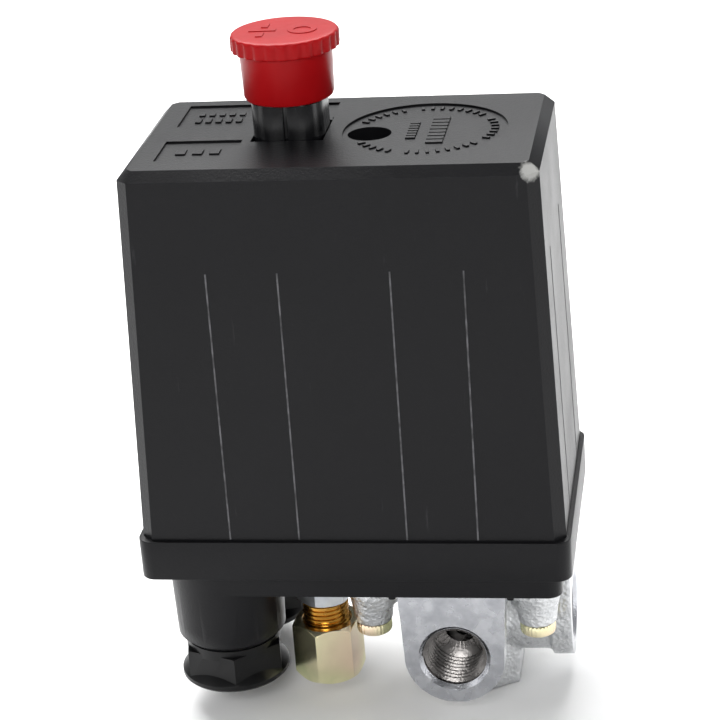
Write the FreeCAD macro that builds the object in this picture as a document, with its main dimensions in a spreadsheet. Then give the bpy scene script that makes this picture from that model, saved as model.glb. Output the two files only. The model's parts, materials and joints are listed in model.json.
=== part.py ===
import FreeCAD, Part
import Sketcher
import math
import os
import re

# Pressure switch for an air compressor: four-way manifold with a diaphragm, spring-loaded
# snap contacts in a moulded housing, a push/pull knob, a bleed valve and two cable glands.
# Millimetres. Origin: centre of the tank port's mouth. +Z up, front port towards -Y,
# right port towards +X. "Housing coordinates" below count from the middle of the base rim's
# lower edge; the manifold's axis stands axis_offset to the right of that point.

Vector = FreeCAD.Vector

SIZES = [
    # housing base
    ("rim_length", 88.0, "base rim, left to right"),
    ("rim_depth", 53.5, "base rim, front to back"),
    ("rim_height", 8.6, "height of the base rim"),
    ("rim_corner", 3.2, "corner radius of the base rim"),
    ("plinth_wall", 2.5, "wall of the plinth"),
    ("rim_level", 35.0, "rim's lower edge above the tank port's mouth"),
    ("axis_offset", 19.1, "manifold axis right of the housing's middle"),
    ("plinth_height", 5.0, "plinth under the rim"),
    ("plinth_inset", 2.25, "plinth's set-back from the rim at front, back and right"),
    ("plinth_corner", 3.0, "corner radius of the plinth's right end"),
    ("plinth_left", 28.5, "plinth's left end, left of the housing's middle"),
    ("floor_thickness", 3.0, "floor of the base"),
    ("lip_height", 2.4, "lip that locates the cover"),
    ("lip_wall", 1.4, "wall of that lip"),
    # cover
    ("cover_ledge", 0.9, "rim that shows outside the cover"),
    ("cover_height", 77.7, "cover above the rim"),
    ("cover_lean_x", 2.5, "draft of the cover's ends over its height"),
    ("cover_lean_y", 1.9, "draft of the cover's front and back over its height"),
    ("cover_bevel", 1.9, "bevel round the cover's top"),
    ("cover_corner", 2.3, "chamfer of the cover's upright corners"),
    ("cover_wall", 2.2, "wall of the cover"),
    ("cover_gap", 0.15, "clearance between cover and locating lip"),
    # push/pull knob
    ("knob_x", -10.0, "knob axis in housing coordinates"),
    ("knob_y", 1.5, "knob axis in housing coordinates"),
    ("knob_travel", 6.0, "push travel of the knob"),
    ("knob_rest", 1.1, "gap under the pushed knob"),
    ("knob_height", 13.2, "knob, skirt and disc"),
    ("knob_disc", 3.3, "thickness of the knob's disc"),
    ("knob_radius", 10.8, "radius of the disc"),
    ("skirt_radius", 9.2, "radius of the skirt"),
    ("flute_radius", 0.9, "radius of the grip flutes"),
    ("flute_count", 26, "grip flutes round the disc"),
    ("stem_side", 14.2, "square stem under the knob"),
    ("stem_corner", 4.0, "corner radius of the stem"),
    ("stem_spigot", 6.4, "radius of the spigot inside the knob"),
    ("stem_block", 16.8, "length of the square stem below the knob"),
    ("leg_x", 6.0, "stem leg, left to right"),
    ("leg_y", 5.0, "stem leg, front to back"),
    ("stem_fit", 0.3, "clearance round the stem"),
    # cover screw
    ("screw_gap", 3.3, "cover screw's axis left of the piston head's edge"),
    ("screw_y", -1.0, "cover screw in housing coordinates"),
    ("well_radius", 4.35, "screw well in the cover"),
    ("well_wall", 1.4, "wall of that well"),
    ("well_level", 60.0, "lower end of the well"),
    ("cover_screw_radius", 2.0, "M4 cover screw"),
    ("pillar_circle", 3.4, "corner radius of the hexagonal pillar"),
    # manifold
    ("hex_circle", 13.3, "corner radius of the tank port's hexagon"),
    ("hex_height", 10.5, "height of that hexagon"),
    ("column_radius", 10.5, "central column"),
    ("port_level", 15.1, "side ports' axis above the tank port's mouth"),
    ("port_front", 23.0, "front and rear port faces from the axis"),
    ("port_right", 23.2, "right port face from the axis"),
    ("port_plate", 4.4, "thickness of a port's face plate"),
    ("port_radius", 10.6, "radius of a port's face plate"),
    ("port_neck", 9.3, "radius of the neck behind the plate"),
    ("port_top", 30.0, "top of a port's face plate"),
    ("port_thread", 6.58, "G1/4 thread's major radius"),
    ("port_chamfer", 0.45, "lead-in chamfer of the side ports"),
    ("port_depth", 12.0, "depth of a side port"),
    ("tank_thread", 8.33, "G3/8 thread's major radius"),
    ("tank_depth", 12.0, "depth of the tank port"),
    ("passage_radius", 3.5, "air passage"),
    ("flange_thickness", 3.2, "manifold flange"),
    ("collar_radius", 13.5, "thick ring under the flange"),
    ("collar_height", 4.0, "height of that ring"),
    ("chamber_depth", 1.0, "air chamber under the diaphragm"),
    ("flange_x", 21.5, "half length of the flange"),
    ("flange_y", 19.6, "half depth of the flange"),
    ("flange_corner", 4.5, "corner radius of the flange"),
    ("lug_right", 16.7, "right-hand screw lugs from the axis"),
    ("lug_left", 17.4, "left-hand screw lugs from the axis"),
    ("lug_y", 15.0, "screw lugs from the axis"),
    ("lug_radius", 4.6, "radius of a screw lug"),
    ("lug_level", 19.8, "underside of the lugs"),
    ("screw_radius", 2.0, "M4 manifold screws"),
    ("screw_head", 3.7, "radius of their heads"),
    ("screw_head_height", 2.5, "height of their heads"),
    ("hole_fit", 0.15, "clearance round a screw"),
    # pressure mechanism
    ("diaphragm_radius", 17.0, "rubber diaphragm"),
    ("diaphragm_thickness", 1.5, "rubber diaphragm"),
    ("piston_radius", 10.0, "piston head"),
    ("piston_fit", 0.05, "running clearance of piston and shafts"),
    ("piston_height", 13.0, "diaphragm to the piston's button"),
    ("button_radius", 4.0, "button on the piston"),
    ("touch_gap", 0.1, "gap between parts that only touch under load"),
    ("frame_left", -3.4, "left end of the steel frame, housing coordinates"),
    ("frame_right", 39.0, "right end of the steel frame"),
    ("frame_y", 19.5, "half width of the steel frame"),
    ("frame_sheet", 1.5, "sheet of the steel frame"),
    ("frame_top", 44.0, "top of the frame's cheeks"),
    ("pivot_x", -0.5, "lever and rocker pivots"),
    ("lever_pivot_z", 12.0, "lever pivot's height"),
    ("rocker_pivot_z", 38.0, "rocker pivot's height"),
    ("pivot_pin", 1.5, "radius of the pivot pins"),
    ("lever_y", 8.0, "half width of the pressure lever"),
    ("lever_sheet", 2.0, "sheet of the pressure lever"),
    ("lever_right", 37.0, "right end of the pressure lever"),
    ("spring_radius", 7.6, "mean radius of the main spring"),
    ("spring_wire", 1.2, "wire radius of the main spring"),
    ("seat_level", 36.0, "underside of the spring seat"),
    ("seat_thickness", 3.0, "spring seat"),
    ("bolt_radius", 3.0, "M6 range bolt"),
    ("bridge_sheet", 2.0, "bridge across the frame's cheeks"),
    ("trim_x", 13.4, "differential screw, right of the manifold axis"),
    ("trim_radius", 2.0, "M4 differential screw"),
    ("trim_seat", 28.0, "underside of the differential nut"),
    # contacts
    ("block_left", -40.0, "terminal block, left end"),
    ("block_right", -16.5, "terminal block, right end"),
    ("block_y", 20.0, "half width of the terminal block"),
    ("block_low", 18.0, "underside of the terminal block"),
    ("block_top", 34.0, "top of the terminal block"),
    ("post_radius", 3.5, "posts under the terminal block"),
    ("strip_inner", 5.5, "inner contact strips from the middle"),
    ("strip_outer", 14.5, "outer contact strips from the middle"),
    ("strip_width", 4.4, "contact strips"),
    ("strip_sheet", 1.2, "contact strips"),
    ("contact_x", -21.0, "contact line"),
    ("rivet_radius", 1.5, "contact rivets"),
    ("rivet_height", 0.65, "contact rivets"),
    ("contact_gap", 0.05, "closed contacts, drawn just apart"),
    ("terminal_x", -33.0, "terminal screws"),
    ("earth_x", 10.5, "earth screw in housing coordinates"),
    ("earth_y", -14.0, "earth screw in housing coordinates"),
    # bleed valve
    ("bleed_x", -8.7, "bleed valve in housing coordinates"),
    ("bleed_y", -13.0, "bleed valve in housing coordinates"),
    ("bleed_turn", 19.4, "turn of its hexagons, a corner from +X, degrees"),
    ("bleed_hex", 5.9, "corner radius of the valve body's hexagon"),
    ("bleed_hex_height", 6.0, "height of that hexagon"),
    ("bleed_thread", 4.85, "M10x1 thread's radius"),
    ("bleed_nut", 7.5, "corner radius of the tube nut, 13 mm across flats"),
    ("bleed_nut_height", 12.5, "height of the tube nut"),
    ("bleed_nut_top", -16.0, "top of the tube nut"),
    ("tube_radius", 3.05, "bore for a 6 mm tube"),
    ("plunger_radius", 1.5, "plunger of the bleed valve"),
    ("off_pin_y", -19.0, "pivot of the bleed lever"),
    ("off_pin_z", 9.25, "pivot of the bleed lever"),
    ("off_pin", 1.25, "radius of its pin"),
    ("off_sheet", 2.5, "thickness of the bleed lever"),
    ("off_width", 5.4, "width of the bleed lever"),
    ("ear_sheet", 1.6, "ears that hold its pin"),
    ("ear_gap", 0.4, "side play of the bleed lever"),
    ("olive_level", 4.1, "shoulder inside the tube nut, under the olive"),
    ("olive_height", 3.3, "compression olive"),
    # cable glands
    ("gland_x", -29.1, "glands in housing coordinates"),
    ("gland_y", 12.9, "glands from the middle, front and rear"),
    ("boss_low", 17.5, "gland boss below the rim"),
    ("boss_top_radius", 11.8, "gland boss at the plinth"),
    ("boss_radius", 11.3, "gland boss at its lower end"),
    ("boss_chamfer", 1.7, "chamfer at the boss's mouth"),
    ("gland_cavity", 8.0, "threaded cavity of the boss"),
    ("gland_cavity_top", 7.0, "top of that cavity below the rim"),
    ("cable_bore", 5.5, "cable bore of the gland nut"),
    ("gland_collar", 9.9, "collar of the gland nut"),
    ("gland_collar_height", 1.3, "height of that collar"),
    ("gland_hex", 11.1, "corner radius of the gland nut's hexagon"),
    ("gland_hex_height", 6.0, "height of that hexagon"),
    ("gland_turn", 41.0, "turn of that hexagon, a corner from +X, degrees"),
    ("gland_flange", 11.35, "round flange of the gland nut"),
    ("gland_flange_height", 1.7, "height of that flange"),
    ("thread_gap", 0.05, "clearance drawn in mating threads"),
]
SIZE_NAMES = {name for name, _, _ in SIZES}

doc = FreeCAD.newDocument("pressure_switch")
sheet = doc.addObject("Spreadsheet::Sheet", "sizes")
for row, (name, number, note) in enumerate(SIZES, start=1):
    sheet.set("A%d" % row, name)
    sheet.set("B%d" % row, str(number))
    sheet.set("C%d" % row, note)
    sheet.setAlias("B%d" % row, name)
doc.recompute()

TURN = {
    "x": FreeCAD.Rotation(Vector(0, 1, 0), 90),
    "y": FreeCAD.Rotation(Vector(1, 0, 0), -90),
    "z": FreeCAD.Rotation(),
}


def linked(text):
    # an expression in size names becomes one in spreadsheet cells
    def cell(found):
        return "sizes." + found.group() if found.group() in SIZE_NAMES else found.group()
    return re.sub(r"[a-z_]\w*", cell, text)


def bind(item, **expressions):
    for name, text in expressions.items():
        item.setExpression(name, linked(text))


def put(item, x, y, z):
    for axis, text in zip("xyz", (x, y, z)):
        item.setExpression("Placement.Base." + axis, linked(text))


def new_body(label, x="0", y="0", z="0", in_housing=True):
    # in_housing: x, y and z are housing coordinates
    body = doc.addObject("PartDesign::Body", label)
    body.Label = label
    if in_housing:
        x = "%s - axis_offset" % x
        z = "%s + rim_level" % z
    put(body, x, y, z)
    return body


def block(body, x, y, z, length, width, height, cut=False):
    # x and y give the middle, z the underside
    kind = "Subtractive" if cut else "Additive"
    item = body.newObject("PartDesign::%sBox" % kind, "block")
    bind(item, Length=length, Width=width, Height=height)
    put(item, "%s - (%s)/2" % (x, length), "%s - (%s)/2" % (y, width), z)
    return item


def drum(body, x, y, z, radius, height, axis="z", cut=False, end=None):
    # grows from its start point along +axis; with end it is a cone
    kind = "Subtractive" if cut else "Additive"
    if end is None:
        item = body.newObject("PartDesign::%sCylinder" % kind, "drum")
        bind(item, Radius=radius, Height=height)
    else:
        item = body.newObject("PartDesign::%sCone" % kind, "cone")
        bind(item, Radius1=radius, Radius2=end, Height=height)
    item.Placement.Rotation = TURN[axis]
    put(item, x, y, z)
    return item


def hexagon(body, x, y, z, circle, height, turn="0", cut=False):
    # corners on a circle, one of them turned from +X by turn degrees
    kind = "Subtractive" if cut else "Additive"
    item = body.newObject("PartDesign::%sPrism" % kind, "hexagon")
    item.Polygon = 6
    bind(item, Circumradius=circle, Height=height)
    item.Placement.Rotation = FreeCAD.Rotation(Vector(0, 0, 1), 1)
    item.setExpression("Placement.Rotation.Angle", linked(turn))
    put(item, x, y, z)
    return item


def outline(body, points, plane="XY_Plane", height="0"):
    # closed polygon, every corner tied to the sketch's origin by two expressions
    sketch = body.newObject("Sketcher::SketchObject", body.Name + "_outline")
    feature = next(item for item in body.Origin.OriginFeatures if item.Role == plane)
    sketch.AttachmentSupport = [(feature, "")]
    sketch.MapMode = "FlatFace"
    sketch.setExpression("AttachmentOffset.Base.z", linked(height))
    count = len(points)
    angles = [2 * math.pi * i / count for i in range(count)]
    loose = [Vector(math.cos(angle), math.sin(angle), 0) for angle in angles]
    for i in range(count):
        sketch.addGeometry(Part.LineSegment(loose[i], loose[(i + 1) % count]), False)
    for i in range(count):
        sketch.addConstraint(Sketcher.Constraint("Coincident", i, 2, (i + 1) % count, 1))
    for i, corner in enumerate(points):
        for kind, text in zip(("DistanceX", "DistanceY"), corner):
            number = sketch.addConstraint(Sketcher.Constraint(kind, -1, 1, i, 1, 1.0))
            sketch.setExpression("Constraints[%d]" % number, linked(text))
    return sketch


def spin(body, points, cut=False):
    # full turn of a profile given as radius and height pairs about the body's Z axis
    sketch = outline(body, points, "XZ_Plane")
    kind = "Groove" if cut else "Revolution"
    item = body.newObject("PartDesign::" + kind, kind.lower())
    item.Profile = sketch
    item.ReferenceAxis = (sketch, ["V_Axis"])
    item.Angle = 360
    return item


def pad(body, sketch, length):
    item = body.newObject("PartDesign::Pad", "pad")
    item.Profile = sketch
    bind(item, Length=length)
    return item


def loft(body, low, high, cut=False):
    item = body.newObject("PartDesign::%sLoft" % ("Subtractive" if cut else "Additive"), "loft")
    item.Profile = low
    item.Sections = [high]
    item.Ruled = True
    return item


def round_edges(body, feature, radius, wanted):
    # fillets those edges of a feature that the test wanted(edge) picks
    doc.recompute()
    names = ["Edge%d" % n for n, edge in enumerate(feature.Shape.Edges, start=1) if wanted(edge)]
    item = body.newObject("PartDesign::Fillet", "fillet")
    item.Base = (feature, names)
    bind(item, Radius=radius)
    return item


def upright(edge):
    ends = [vertex.Point for vertex in edge.Vertexes]
    if len(ends) < 2:
        return False
    flat = Vector(ends[0].x - ends[1].x, ends[0].y - ends[1].y, 0)
    return flat.Length < 1e-6


def coil(label, x, y, low, high, mean, wire, turns):
    # compression spring between two levels in part coordinates
    height = high - low - 2 * wire
    helix = Part.makeHelix(height / turns, height, mean)
    section = Part.Wire(Part.makeCircle(wire, Vector(mean, 0, 0), Vector(0, 1, 0)))
    spring = doc.addObject("Part::Feature", label)
    spring.Label = label
    spring.Shape = Part.Wire(helix.Edges).makePipeShell([section], True, True)
    spring.Placement = FreeCAD.Placement(Vector(x, y, low + wire), FreeCAD.Rotation())
    return spring


# ---- housing ----

FLOOR = "(floor_thickness - plinth_height)"
PLATEAU = "(rim_height + cover_height)"
SCREW_X = "(axis_offset - piston_radius - screw_gap)"
LUGS = (("lug_right", "lug_y"), ("-lug_left", "lug_y"), ("-lug_left", "-lug_y"), ("lug_right", "-lug_y"))


def lip_half(length, lean):
    # half size of the locating lip: the cover's inner size at the lip's top, less the clearance
    return "(%s/2 - cover_ledge - cover_wall - cover_gap - %s*lip_height/cover_height)" % (length, lean)


def on_plinth_end(edge):
    # below the rim and right of the housing's middle
    middle = edge.BoundBox.Center
    return middle.z < 0 and middle.x > 0


def make_base():
    base = new_body("base")
    rim = block(base, "0", "0", "0", "rim_length", "rim_depth", "rim_height")
    round_edges(base, rim, "rim_corner", upright)
    length = "(plinth_left + rim_length/2 - plinth_inset)"
    middle = "((rim_length/2 - plinth_inset - plinth_left)/2)"
    plinth = block(base, middle, "0", "-plinth_height", length, "rim_depth - 2*plinth_inset", "plinth_height")
    round_edges(base, plinth, "plinth_corner", lambda edge: upright(edge) and on_plinth_end(edge))
    for side in ("", "-"):
        y = side + "gland_y"
        drum(base, "gland_x", y, "-boss_low", "boss_radius", "boss_low", end="boss_top_radius")
        drum(base, "gland_x", y, "-boss_low - boss_chamfer", "boss_radius - boss_chamfer", "boss_chamfer",
             end="boss_radius")
    # lip that stands inside the cover, then the inside of the tray
    lip_x = lip_half("rim_length", "cover_lean_x")
    lip_y = lip_half("rim_depth", "cover_lean_y")
    pad(base, outline(base, corners(lip_x, lip_y, "cover_corner"), height="rim_height/2"),
        "rim_height/2 + lip_height")
    block(base, "0", "0", "0", "2*%s - 2*lip_wall" % lip_x, "2*%s - 2*lip_wall" % lip_y,
          "rim_height + lip_height + 1", cut=True)
    inner = "(plinth_left + rim_length/2 - plinth_inset - 2*plinth_wall)"
    block(base, middle, "0", FLOOR, inner, "rim_depth - 2*plinth_inset - 2*plinth_wall",
          "plinth_height", cut=True)
    # cable passages and gland cavities
    for side in ("", "-"):
        y = side + "gland_y"
        drum(base, "gland_x", y, "-boss_low", "cable_bore + 1", "boss_low + 1", cut=True)
        drum(base, "gland_x", y, "-boss_low - boss_chamfer - 1", "gland_cavity",
             "boss_low + boss_chamfer + 1 - gland_cavity_top", cut=True)
    # openings in the floor: piston, manifold screws, bleed valve
    drum(base, "axis_offset", "0", "-plinth_height - 1", "piston_radius + 2", "floor_thickness + 2", cut=True)
    for x, y in LUGS:
        drum(base, "axis_offset + %s" % x, y, "-plinth_height - 1", "screw_radius + hole_fit",
             "floor_thickness + 2", cut=True)
    drum(base, "bleed_x", "bleed_y", "-plinth_height - 1", "bleed_thread + thread_gap",
         "floor_thickness + 2", cut=True)
    # posts for the terminal block and ears for the bleed lever's pin
    for x in ("block_left + post_radius", "block_right - post_radius"):
        drum(base, x, "0", FLOOR + " - 1", "post_radius", "block_low - %s + 1" % FLOOR)
        drum(base, x, "0", "block_low - 10", "screw_radius - 0.5", "10.5", cut=True)
    for side in ("-", "+"):
        x = "bleed_x %s (off_width + ear_sheet + ear_gap)/2" % side
        block(base, x, "off_pin_y - 0.4", "0.2", "ear_sheet", "6.3", "off_pin_z + 3")
    drum(base, "bleed_x - off_width", "off_pin_y", "off_pin_z", "off_pin", "2*off_width", "x", cut=True)
    return base


def make_cover():
    cover = new_body("cover")
    half_x = "rim_length/2 - cover_ledge"
    half_y = "rim_depth/2 - cover_ledge"
    bevel_level = "%s - cover_bevel" % PLATEAU
    lean = "(cover_height - cover_bevel)/cover_height"
    top_x = "%s - cover_lean_x*%s" % (half_x, lean)
    top_y = "%s - cover_lean_y*%s" % (half_y, lean)
    foot = outline(cover, corners(half_x, half_y, "cover_corner"), height="rim_height")
    shoulder = outline(cover, corners(top_x, top_y, "cover_corner"), height=bevel_level)
    loft(cover, foot, shoulder)
    shoulder_2 = outline(cover, corners(top_x, top_y, "cover_corner"), height=bevel_level)
    plateau = outline(cover, corners(top_x + " - cover_bevel", top_y + " - cover_bevel", "cover_corner"),
                      height=PLATEAU)
    loft(cover, shoulder_2, plateau)
    wall, chamfer = " - cover_wall", "cover_corner - 1"
    hollow_low = outline(cover, corners(half_x + wall, half_y + wall, chamfer), height="rim_height")
    hollow_top = outline(cover, corners(top_x + wall, top_y + wall, chamfer), height=PLATEAU + wall)
    loft(cover, hollow_low, hollow_top, cut=True)
    # screw well down to the pillar
    well_height = "%s - well_level" % PLATEAU
    drum(cover, SCREW_X, "screw_y", "well_level", "well_radius + well_wall", well_height + " - 1")
    drum(cover, SCREW_X, "screw_y", "well_level + well_wall", "well_radius", well_height, cut=True)
    drum(cover, SCREW_X, "screw_y", "well_level - 1", "cover_screw_radius + hole_fit", "well_wall + 2",
         cut=True)
    # square opening for the stem
    gate = "stem_side + 2*stem_fit"
    block(cover, "knob_x", "knob_y", "%s - cover_wall - 1" % PLATEAU, gate, gate, "cover_wall + 2",
          cut=True)
    return cover


def corners(half_x, half_y, cut):
    # eight corners of a rectangle with chamfered corners, anticlockwise
    far_x, far_y = "(%s)" % half_x, "(%s)" % half_y
    near_x, near_y = "(%s - (%s))" % (half_x, cut), "(%s - (%s))" % (half_y, cut)
    right_side = [(far_x, "-" + near_y), (far_x, near_y)]
    left_side = [("-" + far_x, near_y), ("-" + far_x, "-" + near_y)]
    back = [(near_x, far_y), ("-" + near_x, far_y)]
    front = [("-" + near_x, "-" + far_y), (near_x, "-" + far_y)]
    return right_side + back + left_side + front


# ---- knob ----

KNOB_LEVEL = "(rim_height + cover_height + knob_travel + knob_rest)"


def make_knob():
    knob = new_body("knob", "knob_x", "knob_y", KNOB_LEVEL)
    disc_low = "knob_height - knob_disc"
    spin(knob, [
        ("stem_spigot", "0"), ("skirt_radius - 0.8", "0"), ("skirt_radius", "0.8"),
        ("skirt_radius", disc_low), ("knob_radius - 0.3", disc_low), ("knob_radius", disc_low + " + 0.4"),
        ("knob_radius", "knob_height - 0.7"), ("knob_radius - 0.7", "knob_height"),
        ("0", "knob_height + 0.2"), ("0", "knob_height - 3.5"), ("stem_spigot", "knob_height - 3.5"),
    ])
    flute = drum(knob, "knob_radius + flute_radius*0.55", "0", disc_low + " - 1", "flute_radius",
                 "knob_disc + 2", cut=True)
    doc.recompute()
    ring = knob.newObject("PartDesign::PolarPattern", "flutes")
    ring.Originals = [flute]
    ring.Axis = (next(item for item in knob.Origin.OriginFeatures if item.Role == "Z_Axis"), [""])
    ring.Angle = 360
    bind(ring, Occurrences="flute_count")
    knob.Tip = ring
    return knob


def make_knob_stem():
    stem = new_body("knob_stem", "knob_x", "knob_y", KNOB_LEVEL)
    square = block(stem, "0", "0", "-stem_block", "stem_side", "stem_side", "stem_block")
    round_edges(stem, square, "stem_corner", upright)
    drum(stem, "0", "0", "0", "stem_spigot - 0.05", "knob_height - 3.6")
    # leg down to the bleed lever, with a rounded foot
    foot = "(off_pin_z + off_sheet/2 + touch_gap + leg_y/2 - %s)" % KNOB_LEVEL
    block(stem, "0", "0", foot, "leg_x", "leg_y", "-stem_block + 1 - %s" % foot)
    drum(stem, "-leg_x/2", "0", foot, "leg_y/2", "leg_x", "x")
    # assembly slit in the front face
    block(stem, "0", "-stem_side/2", "-stem_block - 1", "0.6", "1.2", "stem_block + 1", cut=True)
    return stem


# ---- cover fixing ----

def make_cover_screw():
    screw = new_body("cover_screw", SCREW_X, "screw_y", "well_level + well_wall")
    drum(screw, "0", "0", "-14", "cover_screw_radius", "14.5")
    drum(screw, "0", "0", "0", "3.6", "1.6")
    drum(screw, "0", "0", "1.6", "3.6", "1.0", end="2.4")
    block(screw, "0", "0", "1.4", "5", "0.9", "2", cut=True)
    block(screw, "0", "0", "1.4", "0.9", "5", "2", cut=True)
    return screw


def make_cover_pillar():
    low = "(%s + frame_sheet)" % FLOOR
    pillar = new_body("cover_pillar", SCREW_X, "screw_y", low)
    height = "well_level - %s" % low
    hexagon(pillar, "0", "0", "0", "pillar_circle", height, turn="30")
    drum(pillar, "0", "0", height + " - 16", "cover_screw_radius + thread_gap", "17", cut=True)
    return pillar


# ---- manifold ----

def add_port(body, axis, sign, face):
    # U-shaped face plate on a neck, along +axis or -axis
    start = {"+": "0", "-": "-" + face}[sign]
    reach = {"+": face, "-": "-" + face}[sign]
    plate_start = {"+": "%s - port_plate" % face, "-": "-" + face}[sign]
    if axis == "x":
        drum(body, start, "0", "port_level", "port_neck", face, "x")
        drum(body, plate_start, "0", "port_level", "port_radius", "port_plate", "x")
        block(body, "%s/2" % reach, "0", "port_level", face, "2*port_neck", "port_top - 1.3 - port_level")
        block(body, "%s + port_plate/2" % plate_start, "0", "port_level", "port_plate", "2*port_radius",
              "port_top - port_level")
    else:
        drum(body, "0", start, "port_level", "port_neck", face, "y")
        drum(body, "0", plate_start, "port_level", "port_radius", "port_plate", "y")
        block(body, "0", "%s/2" % reach, "port_level", "2*port_neck", face, "port_top - 1.3 - port_level")
        block(body, "0", "%s + port_plate/2" % plate_start, "port_level", "2*port_radius", "port_plate",
              "port_top - port_level")


def bore_port(body, axis, sign, face):
    # plain bore at the thread's major radius, lead-in chamfer and passage to the middle
    mouth = {"+": "%s - port_depth" % face, "-": "-%s - 1" % face}[sign]
    lead = {"+": "%s - port_chamfer" % face, "-": "-" + face}[sign]
    inner = {"+": "0", "-": "-" + face}[sign]
    wide, narrow = "port_thread + port_chamfer", "port_thread"
    first, last = (narrow, wide) if sign == "+" else (wide, narrow)
    steps = [(mouth, "port_thread", "port_depth + 1", None), (lead, first, "port_chamfer", last),
             (inner, "passage_radius", face, None)]
    for place, radius, length, end in steps:
        x, y = (place, "0") if axis == "x" else ("0", place)
        drum(body, x, y, "port_level", radius, length, axis, cut=True, end=end)


PORTS = (("y", "-", "port_front"), ("x", "+", "port_right"), ("y", "+", "port_front"))


def make_manifold():
    body = new_body("manifold", in_housing=False)
    flange_low = "(rim_level - plinth_height - flange_thickness)"
    flange = block(body, "0", "0", flange_low, "2*flange_x", "2*flange_y", "flange_thickness")
    round_edges(body, flange, "flange_corner", upright)
    drum(body, "0", "0", "hex_height/2", "column_radius", flange_low + " - hex_height/2")
    drum(body, "0", "0", flange_low + " - collar_height", "collar_radius", "collar_height")
    hexagon(body, "0", "0", "0", "hex_circle", "hex_height", turn="30")
    for axis, sign, face in PORTS:
        add_port(body, axis, sign, face)
    for x, y in LUGS:
        drum(body, x, y, "lug_level", "lug_radius", "%s - lug_level + 1" % flange_low)
    # bores
    for axis, sign, face in PORTS:
        bore_port(body, axis, sign, face)
    drum(body, "0", "0", "-1", "tank_thread", "tank_depth + 1", cut=True)
    drum(body, "0", "0", "0", "passage_radius", "rim_level", cut=True)
    recess = "(rim_level - plinth_height - diaphragm_thickness)"
    drum(body, "0", "0", recess, "diaphragm_radius + 0.2", "diaphragm_thickness + 1", cut=True)
    drum(body, "0", "0", recess + " - chamber_depth", "piston_radius + 1", "chamber_depth + 1", cut=True)
    for x, y in LUGS:
        drum(body, x, y, "lug_level - 1", "screw_radius + hole_fit", "rim_level", cut=True)
    return body


def make_manifold_screws():
    screws = new_body("manifold_screws", in_housing=False)
    top = "(rim_level - plinth_height + floor_thickness + frame_sheet + 1)"
    for x, y in LUGS:
        drum(screws, x, y, "lug_level", "screw_radius", "%s - lug_level" % top)
        drum(screws, x, y, "lug_level - screw_head_height", "screw_head", "screw_head_height")
        hexagon(screws, x, y, "lug_level - screw_head_height - 1", "1.75", "3", cut=True)
    return screws


# ---- pressure mechanism ----

def make_diaphragm():
    disc = new_body("diaphragm", "axis_offset", "0", "-plinth_height - diaphragm_thickness")
    spin(disc, [("0", "0"), ("piston_radius - 1", "0"), ("piston_radius", "0.3"),
                ("piston_radius + 0.8", "0"), ("diaphragm_radius", "0"),
                ("diaphragm_radius", "diaphragm_thickness"), ("0", "diaphragm_thickness")])
    return disc


def make_piston():
    piston = new_body("piston", "axis_offset", "0", "-plinth_height + touch_gap")
    stub = "piston_height - 4"
    spin(piston, [("0", "0"), ("piston_radius - 0.6", "0"), ("piston_radius", "0.6"),
                  ("piston_radius", "piston_height - 6"), ("piston_radius - 0.6", "piston_height - 5.4"),
                  ("button_radius", "piston_height - 5.4"), ("button_radius", stub),
                  ("button_radius", "piston_height - 1.2"), ("button_radius*0.75", "piston_height - 0.45"),
                  ("button_radius*0.35", "piston_height - 0.1"), ("0", "piston_height - 0.05")])
    return piston


def make_frame():
    frame = new_body("frame", "0", "0", FLOOR)
    length = "(frame_right - frame_left)"
    middle = "((frame_right + frame_left)/2)"
    block(frame, middle, "0", "0", length, "2*frame_y", "frame_sheet")
    cheek = "(%s - 5)" % length
    for side in ("", "-"):
        y = "%s(frame_y - frame_sheet/2)" % side
        block(frame, "frame_left + %s/2" % cheek, y, "0", cheek, "frame_sheet", "frame_top - %s" % FLOOR)
    drum(frame, "axis_offset", "0", "-1", "piston_radius + piston_fit", "frame_sheet + 2", cut=True)
    for x, y in LUGS:
        drum(frame, "axis_offset + %s" % x, y, "-1", "screw_radius + thread_gap", "frame_sheet + 2", cut=True)
    for height in ("lever_pivot_z", "rocker_pivot_z"):
        drum(frame, "pivot_x", "-frame_y - 1", "%s - %s" % (height, FLOOR), "pivot_pin", "2*frame_y + 2", "y",
             cut=True)
    # windows in the cheeks, where the spring seat's ears run
    for side in ("", "-"):
        y = "%s(frame_y - frame_sheet/2)" % side
        block(frame, "axis_offset", y, "22 - %s" % FLOOR, "8", "frame_sheet + 1", "20.5", cut=True)
    drum(frame, "earth_x", "earth_y", "-1", "screw_radius + thread_gap", "frame_sheet + 2", cut=True)
    return frame


def make_frame_bridge():
    bridge = new_body("frame_bridge", "0", "0", "frame_top")
    block(bridge, "(10 + frame_right - 5)/2", "0", "0", "frame_right - 15", "2*frame_y", "bridge_sheet")
    drum(bridge, "axis_offset", "0", "-1", "bolt_radius + piston_fit", "bridge_sheet + 2", cut=True)
    drum(bridge, "axis_offset + trim_x", "0", "-1", "trim_radius + piston_fit", "bridge_sheet + 2", cut=True)
    return bridge


LEVER_LOW = "(piston_height - plinth_height + 2*touch_gap - lever_pivot_z)"


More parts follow.
